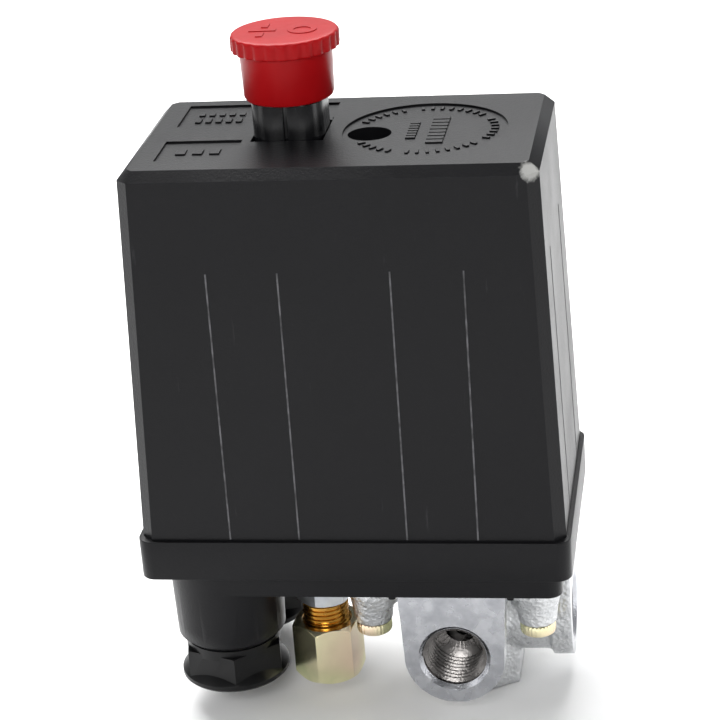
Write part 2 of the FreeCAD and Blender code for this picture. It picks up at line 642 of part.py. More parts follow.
def make_pressure_lever():
    lever = new_body("pressure_lever", "pivot_x", "0", "lever_pivot_z")
    length = "(lever_right - pivot_x)"
    block(lever, "%s/2 - 2.5" % length, "0", LEVER_LOW, length + " + 5", "2*lever_y", "lever_sheet")
    for side in ("", "-"):
        y = "%s(lever_y - 0.75)" % side
        block(lever, "3", y, LEVER_LOW, "9", "1.5", "-%s + 3" % LEVER_LOW)
    drum(lever, "0", "-lever_y - 1", "0", "pivot_pin + piston_fit", "2*lever_y + 2", "y", cut=True)
    for x, y, radius in ((SCREW_X, "screw_y", "pillar_circle + 0.8"),
                         ("axis_offset + trim_x", "0", "trim_radius + 0.6")):
        drum(lever, x + " - pivot_x", y, LEVER_LOW + " - 1", radius, "lever_sheet + 2", cut=True)
    return lever


def make_lever_pin():
    pin = new_body("lever_pin", "pivot_x", "-frame_y - 0.8", "lever_pivot_z")
    drum(pin, "0", "0", "0", "pivot_pin", "2*frame_y + 1.6", "y")
    return pin


def make_rocker_pins():
    pins = new_body("rocker_pins", "pivot_x", "0", "rocker_pivot_z")
    for start in ("-frame_y - 0.8", "frame_y + 0.8 - 8.3"):
        drum(pins, "0", start, "0", "pivot_pin", "8.3", "y")
    return pins


def make_spring_seat():
    seat = new_body("spring_seat", "axis_offset", "0", "seat_level")
    block(seat, "0", "0", "0", "18.6", "2*(frame_y - frame_sheet) - 0.6", "seat_thickness")
    block(seat, "0", "0", "0", "7.4", "2*frame_y + 1", "seat_thickness")
    drum(seat, "0", "0", "-3", "spring_radius - spring_wire - 0.6", "3.5")
    drum(seat, "0", "0", "-4", "bolt_radius + piston_fit", "12", cut=True)
    return seat


def make_range_bolt():
    bolt = new_body("range_bolt", "axis_offset", "0", "frame_top + bridge_sheet")
    hexagon(bolt, "0", "0", "0.05", "5.77", "4")
    drum(bolt, "0", "0", "-30", "bolt_radius", "31")
    return bolt


def make_trim_screw():
    screw = new_body("differential_screw", "axis_offset + trim_x", "0", "frame_top + bridge_sheet")
    drum(screw, "0", "0", "0.05", "3.5", "2.6")
    drum(screw, "0", "0", "-40", "trim_radius", "41")
    block(screw, "0", "0", "1.4", "8", "1", "2", cut=True)
    return screw


def make_trim_nut():
    nut = new_body("differential_nut", "axis_offset + trim_x", "0", "trim_seat")
    block(nut, "0", "0", "0", "7", "7", "3.2")
    drum(nut, "0", "0", "-1", "trim_radius + piston_fit", "6", cut=True)
    return nut


def make_springs():
    lift = sheet.rim_level
    lever_top = lift + sheet.piston_height - sheet.plinth_height + 2 * sheet.touch_gap + sheet.lever_sheet
    coil("main_spring", 0, 0, lever_top + 0.05, lift + sheet.seat_level - 0.05,
         sheet.spring_radius, sheet.spring_wire, 6.5)
    coil("differential_spring", sheet.trim_x, 0, lever_top + 0.05, lift + sheet.trim_seat - 0.05,
         sheet.trim_radius + 1.0, 0.4, 9.0)
    # snap spring, stretched between the lever's tail and the rocker's bar
    coil("snap_spring", sheet.pivot_x - sheet.axis_offset - 3.2, 5.4, lever_top + 0.05,
         lift + sheet.rocker_pivot_z - 2.05, 1.3, 0.3, 16.0)
    low = lift + sheet.floor_thickness - sheet.plinth_height + 2.05
    high = lift + sheet.off_pin_z - sheet.off_sheet / 2 - sheet.touch_gap - 2.55
    coil("bleed_spring", sheet.bleed_x - sheet.axis_offset, sheet.bleed_y, low, high,
         sheet.plunger_radius + 0.7, 0.35, 3.0)


# ---- contacts ----

def make_terminal_block():
    body = new_body("terminal_block", "0", "0", "block_low")
    middle = "((block_left + block_right)/2)"
    height = "(block_top - block_low)"
    block(body, middle, "0", "0", "block_right - block_left", "2*block_y", height)
    # tongue that guides the stem's leg
    block(body, "(block_right - 5.5)/2 - 0.5", "knob_y", "0", "-5.5 - block_right + 1", "leg_y + 5", "6")
    block(body, "knob_x", "knob_y", "-1", "leg_x + 2*stem_fit", "leg_y + 2*stem_fit", "8", cut=True)
    # grooves between the terminals, recess for the wires, holes for the fixing screws
    for y in ("-10", "10"):
        block(body, "terminal_x - 2", y, height + " - 5", "12", "1.4", "6", cut=True)
    for y in ("-strip_outer", "-strip_inner", "strip_inner", "strip_outer"):
        drum(body, "block_left - 1", y, "8", "2.6", "9", "x", cut=True)
        drum(body, "terminal_x", y, "8", "1.6", "20", cut=True)
    for x in ("block_left + post_radius", "block_right - post_radius"):
        drum(body, x, "0", "-1", "screw_radius - 0.35", "30", cut=True)
    return body


def make_block_screws():
    screws = new_body("block_screws", "0", "0", "block_top")
    for x in ("block_left + post_radius", "block_right - post_radius"):
        drum(screws, x, "0", "block_low - block_top - 8", "screw_radius - 0.55", "block_top - block_low + 9")
        drum(screws, x, "0", "0", "2.7", "1.8")
        block(screws, x, "0", "1", "7", "0.7", "1", cut=True)
    return screws


STRIPS = ("-strip_outer", "-strip_inner", "strip_inner", "strip_outer")


def make_fixed_contacts():
    strips = new_body("fixed_contacts", "0", "0", "block_top")
    length = "(contact_x + 3 - terminal_x + 4)"
    for y in STRIPS:
        block(strips, "(contact_x + 3 + terminal_x - 4)/2", y, "0", length, "strip_width", "strip_sheet")
        drum(strips, "contact_x", y, "strip_sheet/2", "rivet_radius", "strip_sheet/2 + rivet_height")
        drum(strips, "terminal_x", y, "-1", "1.65", "4", cut=True)
    return strips


def make_terminal_screws():
    screws = new_body("terminal_screws", "0", "0", "block_top + strip_sheet")
    for y in STRIPS:
        drum(screws, "terminal_x", y, "-7", "1.5", "8")
        drum(screws, "terminal_x", y, "0", "2.9", "2")
        block(screws, "terminal_x", y, "1.1", "7", "0.8", "1", cut=True)
    return screws


RIVET_TOP = "(block_top + strip_sheet + rivet_height)"


def make_moving_contacts():
    bars = new_body("moving_contacts", "contact_x", "0", RIVET_TOP + " + contact_gap")
    for side in ("", "-"):
        middle = "%s(strip_inner + strip_outer)/2" % side
        block(bars, "0", middle, "rivet_height", "4.4", "strip_outer - strip_inner + 4", "1")
        for y in ("strip_inner", "strip_outer"):
            drum(bars, "0", side + y, "0", "rivet_radius", "rivet_height + 0.5")
    return bars


BAR_TOP = "(block_top + strip_sheet + 2*rivet_height + contact_gap + 1)"


def make_contact_rocker():
    rocker = new_body("contact_rocker", "pivot_x", "0", "rocker_pivot_z")
    tip = "(contact_x - pivot_x)"
    low = "(%s - rocker_pivot_z)" % BAR_TOP
    bar_y = "(strip_inner + strip_outer)/2"
    # cross bar between the stem's leg and the pillar, arms to the contact bars
    block(rocker, "-2.6", "0", "-2", "4", "2*(frame_y - frame_sheet) - 6", "4")
    for side in ("", "-"):
        arm_y = side + "(frame_y - frame_sheet - 4.6)"
        drum(rocker, "0", "%s - 1.6" % arm_y, "0", "3", "3.2", "y")
        block(rocker, "%s/2" % tip, arm_y, "-0.4", "-%s + 4" % tip, "3.2", "3.2")
        block(rocker, tip, side + bar_y, low, "7", "7.4", "5")
        drum(rocker, tip, side + bar_y, low + " - 1", "2.2", "4.6", cut=True)
    drum(rocker, "0", "-frame_y", "0", "pivot_pin + piston_fit", "2*frame_y", "y", cut=True)
    return rocker


def make_contact_springs():
    lift = sheet.rim_level
    low = lift + sheet.block_top + sheet.strip_sheet + 2 * sheet.rivet_height + sheet.contact_gap + 1
    middle = (sheet.strip_inner + sheet.strip_outer) / 2
    pair = [coil("contact_spring", sheet.contact_x - sheet.axis_offset, y, low, low + 3.5, 1.6, 0.3, 3.0)
            for y in (-middle, middle)]
    both = doc.addObject("Part::Feature", "contact_springs")
    both.Label = "contact_springs"
    both.Shape = Part.makeCompound([spring.Shape for spring in pair])
    for spring in pair:
        doc.removeObject(spring.Name)


def make_earth_screw():
    screw = new_body("earth_screw", "earth_x", "earth_y", FLOOR + " + frame_sheet")
    drum(screw, "0", "0", "-frame_sheet", "screw_radius", "frame_sheet + 1")
    drum(screw, "0", "0", "0", "3.4", "2.4")
    block(screw, "0", "0", "1.4", "8", "0.9", "2", cut=True)
    return screw


# ---- bleed valve ----

def make_bleed_body():
    valve = new_body("bleed_valve_body", "bleed_x", "bleed_y", "-plinth_height")
    hexagon(valve, "0", "0", "-bleed_hex_height", "bleed_hex", "bleed_hex_height", turn="bleed_turn")
    tail = "(bleed_nut_height - bleed_nut_top - plinth_height - olive_level - olive_height - 0.1)"
    drum(valve, "0", "0", "-%s" % tail, "bleed_thread - thread_gap", tail)
    drum(valve, "0", "0", "-1", "bleed_thread", "floor_thickness + 1")
    hexagon(valve, "0", "0", "floor_thickness", "5.2", "2")
    drum(valve, "0", "0", "-%s - 1" % tail, "tube_radius", "7", cut=True)
    drum(valve, "0", "0", "-%s" % tail, "plunger_radius + piston_fit", "%s + floor_thickness + 4" % tail,
         cut=True)
    return valve


def make_bleed_plunger():
    top = "(off_pin_z - off_sheet/2 - touch_gap)"
    plunger = new_body("bleed_plunger", "bleed_x", "bleed_y", top)
    spin(plunger, [("0", "0"), ("1.0", "-0.28"), ("1.7", "-0.95"), ("2.0", "-2"), ("2.0", "-2.5"),
                   ("plunger_radius", "-2.5"), ("plunger_radius", "-13"), ("0", "-13")])
    return plunger


def make_bleed_nut():
    nut = new_body("bleed_nut", "bleed_x", "bleed_y", "bleed_nut_top - bleed_nut_height")
    hexagon(nut, "0", "0", "0", "bleed_nut", "bleed_nut_height", turn="bleed_turn")
    # thirty-degree chamfers on both ends of the hexagon
    flat, far, rise = "bleed_nut*0.93", "bleed_nut + 2", "1.45"
    spin(nut, [(flat, "0"), (far, "0"), (far, rise)], cut=True)
    top = "bleed_nut_height"
    spin(nut, [(flat, top), (far, top), (far, "%s - %s" % (top, rise))], cut=True)
    drum(nut, "0", "0", "olive_level", "bleed_thread", "bleed_nut_height", cut=True)
    drum(nut, "0", "0", "-1", "tube_radius", "bleed_nut_height", cut=True)
    return nut


def make_bleed_olive():
    olive = new_body("bleed_olive", "bleed_x", "bleed_y", "bleed_nut_top - bleed_nut_height + olive_level")
    belly = "bleed_thread - 0.2"
    spin(olive, [("tube_radius", "0"), ("tube_radius + 0.8", "0"), (belly, "olive_height*0.35"),
                 (belly, "olive_height*0.65"), ("tube_radius + 0.8", "olive_height"),
                 ("tube_radius", "olive_height")])
    return olive


def make_bleed_lever():
    lever = new_body("bleed_lever", "bleed_x", "off_pin_y", "off_pin_z")
    reach = "(knob_y + 4 - off_pin_y)"
    block(lever, "0", "%s/2" % reach, "-off_sheet/2", "off_width", reach, "off_sheet")
    drum(lever, "-off_width/2", "0", "0", "2.4", "off_width", "x")
    drum(lever, "-off_width", "0", "0", "off_pin + piston_fit", "2*off_width", "x", cut=True)
    return lever


def make_bleed_lever_pin():
    half = "(off_width/2 + ear_sheet + ear_gap + 0.3)"
    pin = new_body("bleed_lever_pin", "bleed_x - " + half, "off_pin_y", "off_pin_z")
    drum(pin, "0", "0", "0", "off_pin", "2*" + half, "x")
    return pin


# ---- cable glands ----

def make_gland(place, side):
    y = side + "gland_y"
    mouth = "(boss_low + boss_chamfer)"
    washer_low = "(-gland_cavity_top - 1.2)"
    seal_low = "(%s - 5.5)" % washer_low
    washer = new_body("gland_washer_" + place, "gland_x", y, washer_low)
    drum(washer, "0", "0", "0", "gland_cavity - 0.1", "1.2")
    drum(washer, "0", "0", "-1", "cable_bore + 0.3", "4", cut=True)
    seal = new_body("gland_seal_" + place, "gland_x", y, seal_low)
    drum(seal, "0", "0", "0", "gland_cavity - 0.2", "5.5")
    drum(seal, "0", "0", "-1", "cable_bore", "8", cut=True)
    nut = new_body("gland_nut_" + place, "gland_x", y, "-" + mouth)
    hex_top = "-gland_collar_height"
    hex_low = "(%s - gland_hex_height)" % hex_top
    drum(nut, "0", "0", hex_top, "gland_collar", "gland_collar_height")
    drum(nut, "0", "0", "-0.5", "gland_cavity - thread_gap", "%s + %s + 0.5" % (seal_low, mouth))
    hexagon(nut, "0", "0", hex_low, "gland_hex", "gland_hex_height + 0.01", turn="gland_turn")
    drum(nut, "0", "0", hex_low + " - gland_flange_height", "gland_flange", "gland_flange_height")
    drum(nut, "0", "0", "-30", "cable_bore", "60", cut=True)
    return washer, seal, nut


make_base()
make_cover()
make_knob()
make_knob_stem()
make_cover_screw()
make_cover_pillar()
make_manifold()
make_manifold_screws()
make_diaphragm()
make_piston()
make_frame()
make_frame_bridge()
make_pressure_lever()
make_lever_pin()
make_rocker_pins()
make_spring_seat()
make_range_bolt()
make_trim_screw()
make_trim_nut()
make_springs()
make_terminal_block()
make_block_screws()
make_fixed_contacts()
make_terminal_screws()
make_moving_contacts()
make_contact_rocker()
make_contact_springs()
make_earth_screw()
make_bleed_body()
make_bleed_plunger()
make_bleed_nut()
make_bleed_olive()
make_bleed_lever()
make_bleed_lever_pin()
make_gland("front", "-")
make_gland("rear", "")
doc.recompute()

for item in doc.Objects:
    if "Invalid" in item.State or "Error" in item.State:
        raise RuntimeError("%s of %s did not build: %s" % (item.Name, item.Label, item.State))

nodes = [item for item in doc.Objects
         if item.TypeId == "PartDesign::Body" or (item.TypeId == "Part::Feature" and not item.InList)]
os.makedirs("parts", exist_ok=True)
for node in nodes:
    if node.Shape.isNull() or not node.Shape.isValid():
        raise RuntimeError("%s has no valid shape" % node.Label)
for node in nodes:
    node.Shape.exportStep("parts/%s.step" % node.Label)
    print("%-22s %9.1f mm3, %d solid(s)" % (node.Label, node.Shape.Volume, len(node.Shape.Solids)))
print(len(nodes), "nodes")
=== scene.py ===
import bpy
import bmesh
import json
import math
from mathutils import Matrix, Vector, noise

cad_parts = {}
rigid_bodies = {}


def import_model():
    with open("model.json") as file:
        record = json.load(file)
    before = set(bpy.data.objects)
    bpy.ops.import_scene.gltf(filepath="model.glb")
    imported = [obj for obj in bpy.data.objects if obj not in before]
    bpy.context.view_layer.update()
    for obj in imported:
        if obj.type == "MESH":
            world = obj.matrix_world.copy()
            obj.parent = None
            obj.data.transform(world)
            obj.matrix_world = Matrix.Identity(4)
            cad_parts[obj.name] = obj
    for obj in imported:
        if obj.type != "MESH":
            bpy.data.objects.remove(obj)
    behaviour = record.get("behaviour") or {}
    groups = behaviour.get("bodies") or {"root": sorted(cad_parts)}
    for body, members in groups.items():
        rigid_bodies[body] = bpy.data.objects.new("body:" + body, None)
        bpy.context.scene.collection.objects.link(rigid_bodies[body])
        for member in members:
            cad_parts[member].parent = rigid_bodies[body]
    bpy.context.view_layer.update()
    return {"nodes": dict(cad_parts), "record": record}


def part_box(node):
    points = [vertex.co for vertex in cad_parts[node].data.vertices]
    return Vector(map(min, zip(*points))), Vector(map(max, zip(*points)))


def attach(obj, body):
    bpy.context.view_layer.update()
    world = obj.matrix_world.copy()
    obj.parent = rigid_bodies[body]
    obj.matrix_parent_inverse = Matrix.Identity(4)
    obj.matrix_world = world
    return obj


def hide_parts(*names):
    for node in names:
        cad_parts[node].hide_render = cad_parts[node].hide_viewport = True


for leftover in list(bpy.data.objects):
    bpy.data.objects.remove(leftover)
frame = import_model()
nodes = frame["nodes"]
record = frame["record"]
mm = 0.001
bpy.context.scene.view_settings.view_transform = "Standard"
print("stage: frame loaded,", len(nodes), "nodes")


# ---- materials: every colour below is an sRGB hex value ----

def colour(hexText):
    channels = [int(hexText[i:i + 2], 16) / 255 for i in (1, 3, 5)]
    return tuple(c / 12.92 if c <= 0.04045 else ((c + 0.055) / 1.055) ** 2.4 for c in channels) + (1.0,)


def addNode(tree, kind, inputs=None, **settings):
    node = tree.nodes.new(kind)
    for name, value in settings.items():
        setattr(node, name, value)
    for name, value in (inputs or {}).items():
        if isinstance(value, bpy.types.NodeSocket):
            tree.links.new(value, node.inputs[name])
        else:
            node.inputs[name].default_value = value
    return node


def grain(size):
    # noise scale that gives features of that size in millimetres
    return 1 / (size * mm)


def startMaterial(name):
    material = bpy.data.materials.new(name)
    material.use_nodes = True
    tree = material.node_tree
    tree.nodes.clear()
    place = addNode(tree, "ShaderNodeTexCoord").outputs["Object"]
    return material, tree, place


def endMaterial(material, tree, shaderInputs):
    shader = addNode(tree, "ShaderNodeBsdfPrincipled", shaderInputs)
    addNode(tree, "ShaderNodeOutputMaterial", {"Surface": shader.outputs[0]})
    return material


def mouldedPolyamide():
    # glass-filled polyamide from an eroded mould: near-black, finely grained, dull with scuffs
    look = {"dark": "#101012", "light": "#18181a", "scuff": "#5a5a5c", "worn": "#b4b4b1",
            "grain": 0.45, "cloud": 22.0, "scratch": 1.6, "wornReach": 3.4}
    material, tree, place = startMaterial("moulded_polyamide")
    cloud = addNode(tree, "ShaderNodeTexNoise", {"Vector": place, "Scale": grain(look["cloud"]),
                                                 "Detail": 3.0})
    tone = addNode(tree, "ShaderNodeMix", {0: cloud.outputs["Fac"], 6: colour(look["dark"]),
                                           7: colour(look["light"])}, data_type="RGBA")
    # scuffs: thin strokes drawn out along the wall
    stretch = addNode(tree, "ShaderNodeMapping", {"Vector": place, "Scale": (1.0, 1.0, 0.12),
                                                  "Rotation": (0.0, 0.25, 0.3)})
    stroke = addNode(tree, "ShaderNodeTexNoise", {"Vector": stretch.outputs[0], "Detail": 5.0,
                                                  "Scale": grain(look["scratch"]), "Roughness": 0.7})
    scuff = addNode(tree, "ShaderNodeMapRange", {"Value": stroke.outputs["Fac"], "From Min": 0.66,
                                                 "From Max": 0.8, "To Max": 0.22})
    scuffed = addNode(tree, "ShaderNodeMix", {0: scuff.outputs[0], 6: tone.outputs[2],
                                              7: colour(look["scuff"])}, data_type="RGBA")
    # rubbed spot on the corner of the cover that stands out most
    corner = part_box("cover")[1]
    spot = addNode(tree, "ShaderNodeVectorMath", {0: place, 1: (corner.x - 3.6 * mm, -corner.y + 2.7 * mm,
                                                                corner.z - 1.0 * mm)}, operation="DISTANCE")
    ragged = addNode(tree, "ShaderNodeTexNoise", {"Vector": place, "Scale": grain(0.9), "Detail": 4.0})
    edge = addNode(tree, "ShaderNodeMath", {0: ragged.outputs["Fac"], 1: 1.6 * mm, 2: spot.outputs["Value"]},
                   operation="MULTIPLY_ADD")
    worn = addNode(tree, "ShaderNodeMapRange", {"Value": edge.outputs[0], "From Min": look["wornReach"] * mm,
                                                "From Max": 2.5 * mm, "To Max": 0.75})
    paint = addNode(tree, "ShaderNodeMix", {0: worn.outputs[0], 6: scuffed.outputs[2],
                                            7: colour(look["worn"])}, data_type="RGBA")
    fine = addNode(tree, "ShaderNodeTexNoise", {"Vector": place, "Scale": grain(look["grain"]),
                                                "Detail": 6.0})
    bump = addNode(tree, "ShaderNodeBump", {"Height": fine.outputs["Fac"], "Strength": 0.5,
                                            "Distance": 0.1 * mm})
    dull = addNode(tree, "ShaderNodeMapRange", {"Value": cloud.outputs["Fac"], "From Min": 0.3,
                                                "From Max": 0.7, "To Min": 0.30, "To Max": 0.38})
    return endMaterial(material, tree, {"Base Color": paint.outputs[2], "Roughness": dull.outputs[0],
                                        "Normal": bump.outputs[0], "IOR": 1.44,
                                        "Specular IOR Level": 0.19})


def mouldedPolypropylene():
    # polypropylene from a polished mould: saturated red, glossy, with a faint orange peel
    look = {"red": "#a80d12", "deep": "#8e090e", "peel": 2.2}
    material, tree, place = startMaterial("moulded_polypropylene")
    cloud = addNode(tree, "ShaderNodeTexNoise", {"Vector": place, "Scale": grain(9.0), "Detail": 2.0})
    tone = addNode(tree, "ShaderNodeMix", {0: cloud.outputs["Fac"], 6: colour(look["red"]),
                                           7: colour(look["deep"])}, data_type="RGBA")
    peel = addNode(tree, "ShaderNodeTexNoise", {"Vector": place, "Scale": grain(look["peel"]), "Detail": 3.0})
    bump = addNode(tree, "ShaderNodeBump", {"Height": peel.outputs["Fac"], "Strength": 0.2,
                                            "Distance": 0.08 * mm})
    dull = addNode(tree, "ShaderNodeMapRange", {"Value": peel.outputs["Fac"], "To Min": 0.24, "To Max": 0.4})
    return endMaterial(material, tree, {"Base Color": tone.outputs[2], "Roughness": dull.outputs[0],
                                        "Normal": bump.outputs[0], "IOR": 1.42, "Specular IOR Level": 0.15})


def polishedAcetal():
    # black acetal slide rubbed bright by its travel: glossy, with fine lines along the stroke
    material, tree, place = startMaterial("polished_acetal")
    drawn = addNode(tree, "ShaderNodeMapping", {"Vector": place, "Scale": (1.0, 1.0, 0.05)})
    lines = addNode(tree, "ShaderNodeTexNoise", {"Vector": drawn.outputs[0], "Scale": grain(0.5),
                                                 "Detail": 4.0})
    tone = addNode(tree, "ShaderNodeMix", {0: lines.outputs["Fac"], 6: colour("#08080a"),
                                           7: colour("#151517")}, data_type="RGBA")
    bump = addNode(tree, "ShaderNodeBump", {"Height": lines.outputs["Fac"], "Strength": 0.15,
                                            "Distance": 0.03 * mm})
    dull = addNode(tree, "ShaderNodeMapRange", {"Value": lines.outputs["Fac"], "To Min": 0.16,
                                                "To Max": 0.34})
    return endMaterial(material, tree, {"Base Color": tone.outputs[2], "Roughness": dull.outputs[0],
                                        "Normal": bump.outputs[0], "IOR": 1.48})


def satinNylon():
    # black nylon gland from a blasted mould: satin, soft wide highlights
    material, tree, place = startMaterial("satin_nylon")
    cloud = addNode(tree, "ShaderNodeTexNoise", {"Vector": place, "Scale": grain(6.0), "Detail": 3.0})
    tone = addNode(tree, "ShaderNodeMix", {0: cloud.outputs["Fac"], 6: colour("#060607"),
                                           7: colour("#0e0e0f")}, data_type="RGBA")
    skin = addNode(tree, "ShaderNodeTexNoise", {"Vector": place, "Scale": grain(0.4), "Detail": 4.0})
    bump = addNode(tree, "ShaderNodeBump", {"Height": skin.outputs["Fac"], "Strength": 0.25,
                                            "Distance": 0.04 * mm})
    dull = addNode(tree, "ShaderNodeMapRange", {"Value": cloud.outputs["Fac"], "To Min": 0.28,
                                                "To Max": 0.44})
    return endMaterial(material, tree, {"Base Color": tone.outputs[2], "Roughness": dull.outputs[0],
                                        "Normal": bump.outputs[0], "IOR": 1.4,
                                        "Specular IOR Level": 0.35})


def dieCastAluminium():
    # die-cast, tumbled aluminium: bright skin with pits and ripples about a millimetre wide
    material, tree, place = startMaterial("die_cast_aluminium")
    ripple = addNode(tree, "ShaderNodeTexNoise", {"Vector": place, "Scale": grain(1.4), "Detail": 6.0,
                                                  "Roughness": 0.65})
    pits = addNode(tree, "ShaderNodeTexVoronoi", {"Vector": place, "Scale": grain(0.8)})
    height = addNode(tree, "ShaderNodeMath", {0: ripple.outputs["Fac"], 1: pits.outputs["Distance"]},
                     operation="ADD")
    bump = addNode(tree, "ShaderNodeBump", {"Height": height.outputs[0], "Strength": 0.85,
                                            "Distance": 0.22 * mm})
    cloud = addNode(tree, "ShaderNodeTexNoise", {"Vector": place, "Scale": grain(5.0), "Detail": 4.0})
    tone = addNode(tree, "ShaderNodeMix", {0: cloud.outputs["Fac"], 6: colour("#9b9da0"),
                                           7: colour("#f4f5f6")}, data_type="RGBA")
    dull = addNode(tree, "ShaderNodeMapRange", {"Value": ripple.outputs["Fac"], "From Min": 0.3,
                                                "From Max": 0.7, "To Min": 0.22, "To Max": 0.48})
    return endMaterial(material, tree, {"Base Color": tone.outputs[2], "Roughness": dull.outputs[0],
                                        "Normal": bump.outputs[0], "Metallic": 1.0})


def turnedAluminium(name, dark, light):
    # aluminium faced or bored with a pointed tool, tool marks half a millimetre apart
    material, tree, place = startMaterial(name)
    chatter = addNode(tree, "ShaderNodeTexNoise", {"Vector": place, "Scale": grain(0.5), "Detail": 3.0})
    cloud = addNode(tree, "ShaderNodeTexNoise", {"Vector": place, "Scale": grain(3.0), "Detail": 2.0})
    tone = addNode(tree, "ShaderNodeMix", {0: cloud.outputs["Fac"], 6: colour(dark),
                                           7: colour(light)}, data_type="RGBA")
    bump = addNode(tree, "ShaderNodeBump", {"Height": chatter.outputs["Fac"], "Strength": 0.55,
                                            "Distance": 0.11 * mm})
    dull = addNode(tree, "ShaderNodeMapRange", {"Value": cloud.outputs["Fac"], "To Min": 0.18,
                                                "To Max": 0.36})
    return endMaterial(material, tree, {"Base Color": tone.outputs[2], "Roughness": dull.outputs[0],
                                        "Normal": bump.outputs[0], "Metallic": 1.0})


def platedMetal(name, shades, blotch, roughness):
    # turned or pressed metal with an electroplated or bare bright skin: tone drifts between three shades
    material, tree, place = startMaterial(name)
    cloud = addNode(tree, "ShaderNodeTexNoise", {"Vector": place, "Scale": grain(blotch), "Detail": 3.0})
    wide = addNode(tree, "ShaderNodeTexNoise", {"Vector": place, "Scale": grain(blotch * 2.3), "Detail": 1.0})
    first = addNode(tree, "ShaderNodeMapRange", {"Value": cloud.outputs["Fac"], "From Min": 0.35,
                                                 "From Max": 0.65})
    second = addNode(tree, "ShaderNodeMapRange", {"Value": wide.outputs["Fac"], "From Min": 0.4,
                                                  "From Max": 0.65})
    pair = addNode(tree, "ShaderNodeMix", {0: first.outputs[0], 6: colour(shades[0]), 7: colour(shades[1])},
                   data_type="RGBA")
    tone = addNode(tree, "ShaderNodeMix", {0: second.outputs[0], 6: pair.outputs[2], 7: colour(shades[2])},
                   data_type="RGBA")
    marks = addNode(tree, "ShaderNodeTexNoise", {"Vector": place, "Scale": grain(0.35), "Detail": 4.0})
    bump = addNode(tree, "ShaderNodeBump", {"Height": marks.outputs["Fac"], "Strength": 0.2,
                                            "Distance": 0.03 * mm})
    dull = addNode(tree, "ShaderNodeMapRange", {"Value": cloud.outputs["Fac"], "To Min": roughness - 0.06,
                                                "To Max": roughness + 0.1})
    return endMaterial(material, tree, {"Base Color": tone.outputs[2], "Roughness": dull.outputs[0],
                                        "Normal": bump.outputs[0], "Metallic": 1.0})


def mouldedRubber():
    # nitrile rubber: matt black with a bloom of grey
    material, tree, place = startMaterial("moulded_rubber")
    cloud = addNode(tree, "ShaderNodeTexNoise", {"Vector": place, "Scale": grain(3.0), "Detail": 5.0})
    tone = addNode(tree, "ShaderNodeMix", {0: cloud.outputs["Fac"], 6: colour("#101011"),
                                           7: colour("#2a2a2b")}, data_type="RGBA")
    bump = addNode(tree, "ShaderNodeBump", {"Height": cloud.outputs["Fac"], "Strength": 0.3,
                                            "Distance": 0.05 * mm})
    return endMaterial(material, tree, {"Base Color": tone.outputs[2], "Roughness": 0.78,
                                        "Normal": bump.outputs[0], "IOR": 1.52})


def paleLineMaterial():
    # the same polyamide made paler in broken patches, for the raised lines
    material, tree, place = startMaterial("pale_line_polyamide")
    broken = addNode(tree, "ShaderNodeTexNoise", {"Vector": place, "Scale": grain(2.5), "Detail": 5.0})
    pale = addNode(tree, "ShaderNodeMapRange", {"Value": broken.outputs["Fac"], "From Min": 0.35,
                                                "From Max": 0.6})
    tone = addNode(tree, "ShaderNodeMix", {0: pale.outputs[0], 6: colour("#232325"), 7: colour("#565659")},
                   data_type="RGBA")
    return endMaterial(material, tree, {"Base Color": tone.outputs[2], "Roughness": 0.55, "IOR": 1.5})


polyamide = mouldedPolyamide()
paleLinePolyamide = paleLineMaterial()
polypropylene = mouldedPolypropylene()
acetal = polishedAcetal()
nylon = satinNylon()
castAluminium = dieCastAluminium()
turned = turnedAluminium("turned_aluminium", "#92949a", "#d8d9dd")
# the bore aluminium below is darker and warmer than the turned faces: painted shade for the inside of the
# bores and their threads
boreShadeAluminium = turnedAluminium("bore_painted_shade_aluminium", "#5a5755", "#94918f")
rubber = mouldedRubber()
yellowZinc = platedMetal("yellow_passivated_zinc", ("#f6f3c6", "#d6daa8", "#ecd4ba"), 6.0, 0.22)
whiteZinc = platedMetal("white_passivated_zinc", ("#bfc3c8", "#d4d7da", "#c9c8be"), 3.0, 0.3)
sheetSteel = platedMetal("galvanised_sheet_steel", ("#a9adb1", "#c2c5c8", "#b5b7b2"), 5.0, 0.36)
springSteel = platedMetal("drawn_spring_steel", ("#85888c", "#9a9da1", "#8e8c88"), 2.0, 0.3)
turnedBrass = platedMetal("turned_brass", ("#c89440", "#d8aa5a", "#ac7a30"), 2.0, 0.24)
slotLooks = {"housing": polyamide, "black": acetal, "gland": nylon, "red": polypropylene,
             "cast": castAluminium, "yellow_zinc": yellowZinc, "zinc": whiteZinc, "steel": sheetSteel,
             "spring": springSteel, "brass": turnedBrass, "rubber": rubber}
for part in record["subparts"]:
    nodes[part["node"]].material_slots[0].material = slotLooks[part["material_slot"]]
print("stage: materials made")


# ---- shape helpers: lengths are millimetres, every shape is a bmesh until it becomes a piece ----

def axisTurn(axis):
    return Vector(axis).to_track_quat("Z", "Y").to_matrix().to_4x4()


def block(low, high):
    shape = bmesh.new()
    size, middle = Vector(high) - Vector(low), (Vector(high) + Vector(low)) / 2
    stretch = Matrix.Diagonal(size * mm).to_4x4()
    bmesh.ops.create_cube(shape, size=1, matrix=Matrix.Translation(middle * mm) @ stretch)
    return shape


def drum(start, radius, height, axis=(0, 0, 1), end=None, sides=64, turn=0.0):
    # round or many-sided bar that grows from its start point along axis; end is its other radius
    shape = bmesh.new()
    place = Matrix.Translation(Vector(start) * mm) @ axisTurn(axis)
    lift = Matrix.Rotation(math.radians(turn), 4, "Z") @ Matrix.Translation((0, 0, height * mm / 2))
    far = radius if end is None else end
    bmesh.ops.create_cone(shape, cap_ends=True, segments=sides, radius1=radius * mm, radius2=far * mm,
                          depth=height * mm, matrix=place @ lift)
    return shape


def hexagon(start, circle, height, corner):
    # six-sided bar with one corner turned from +X by corner degrees
    return drum(start, circle, height, sides=6, turn=corner - 90)


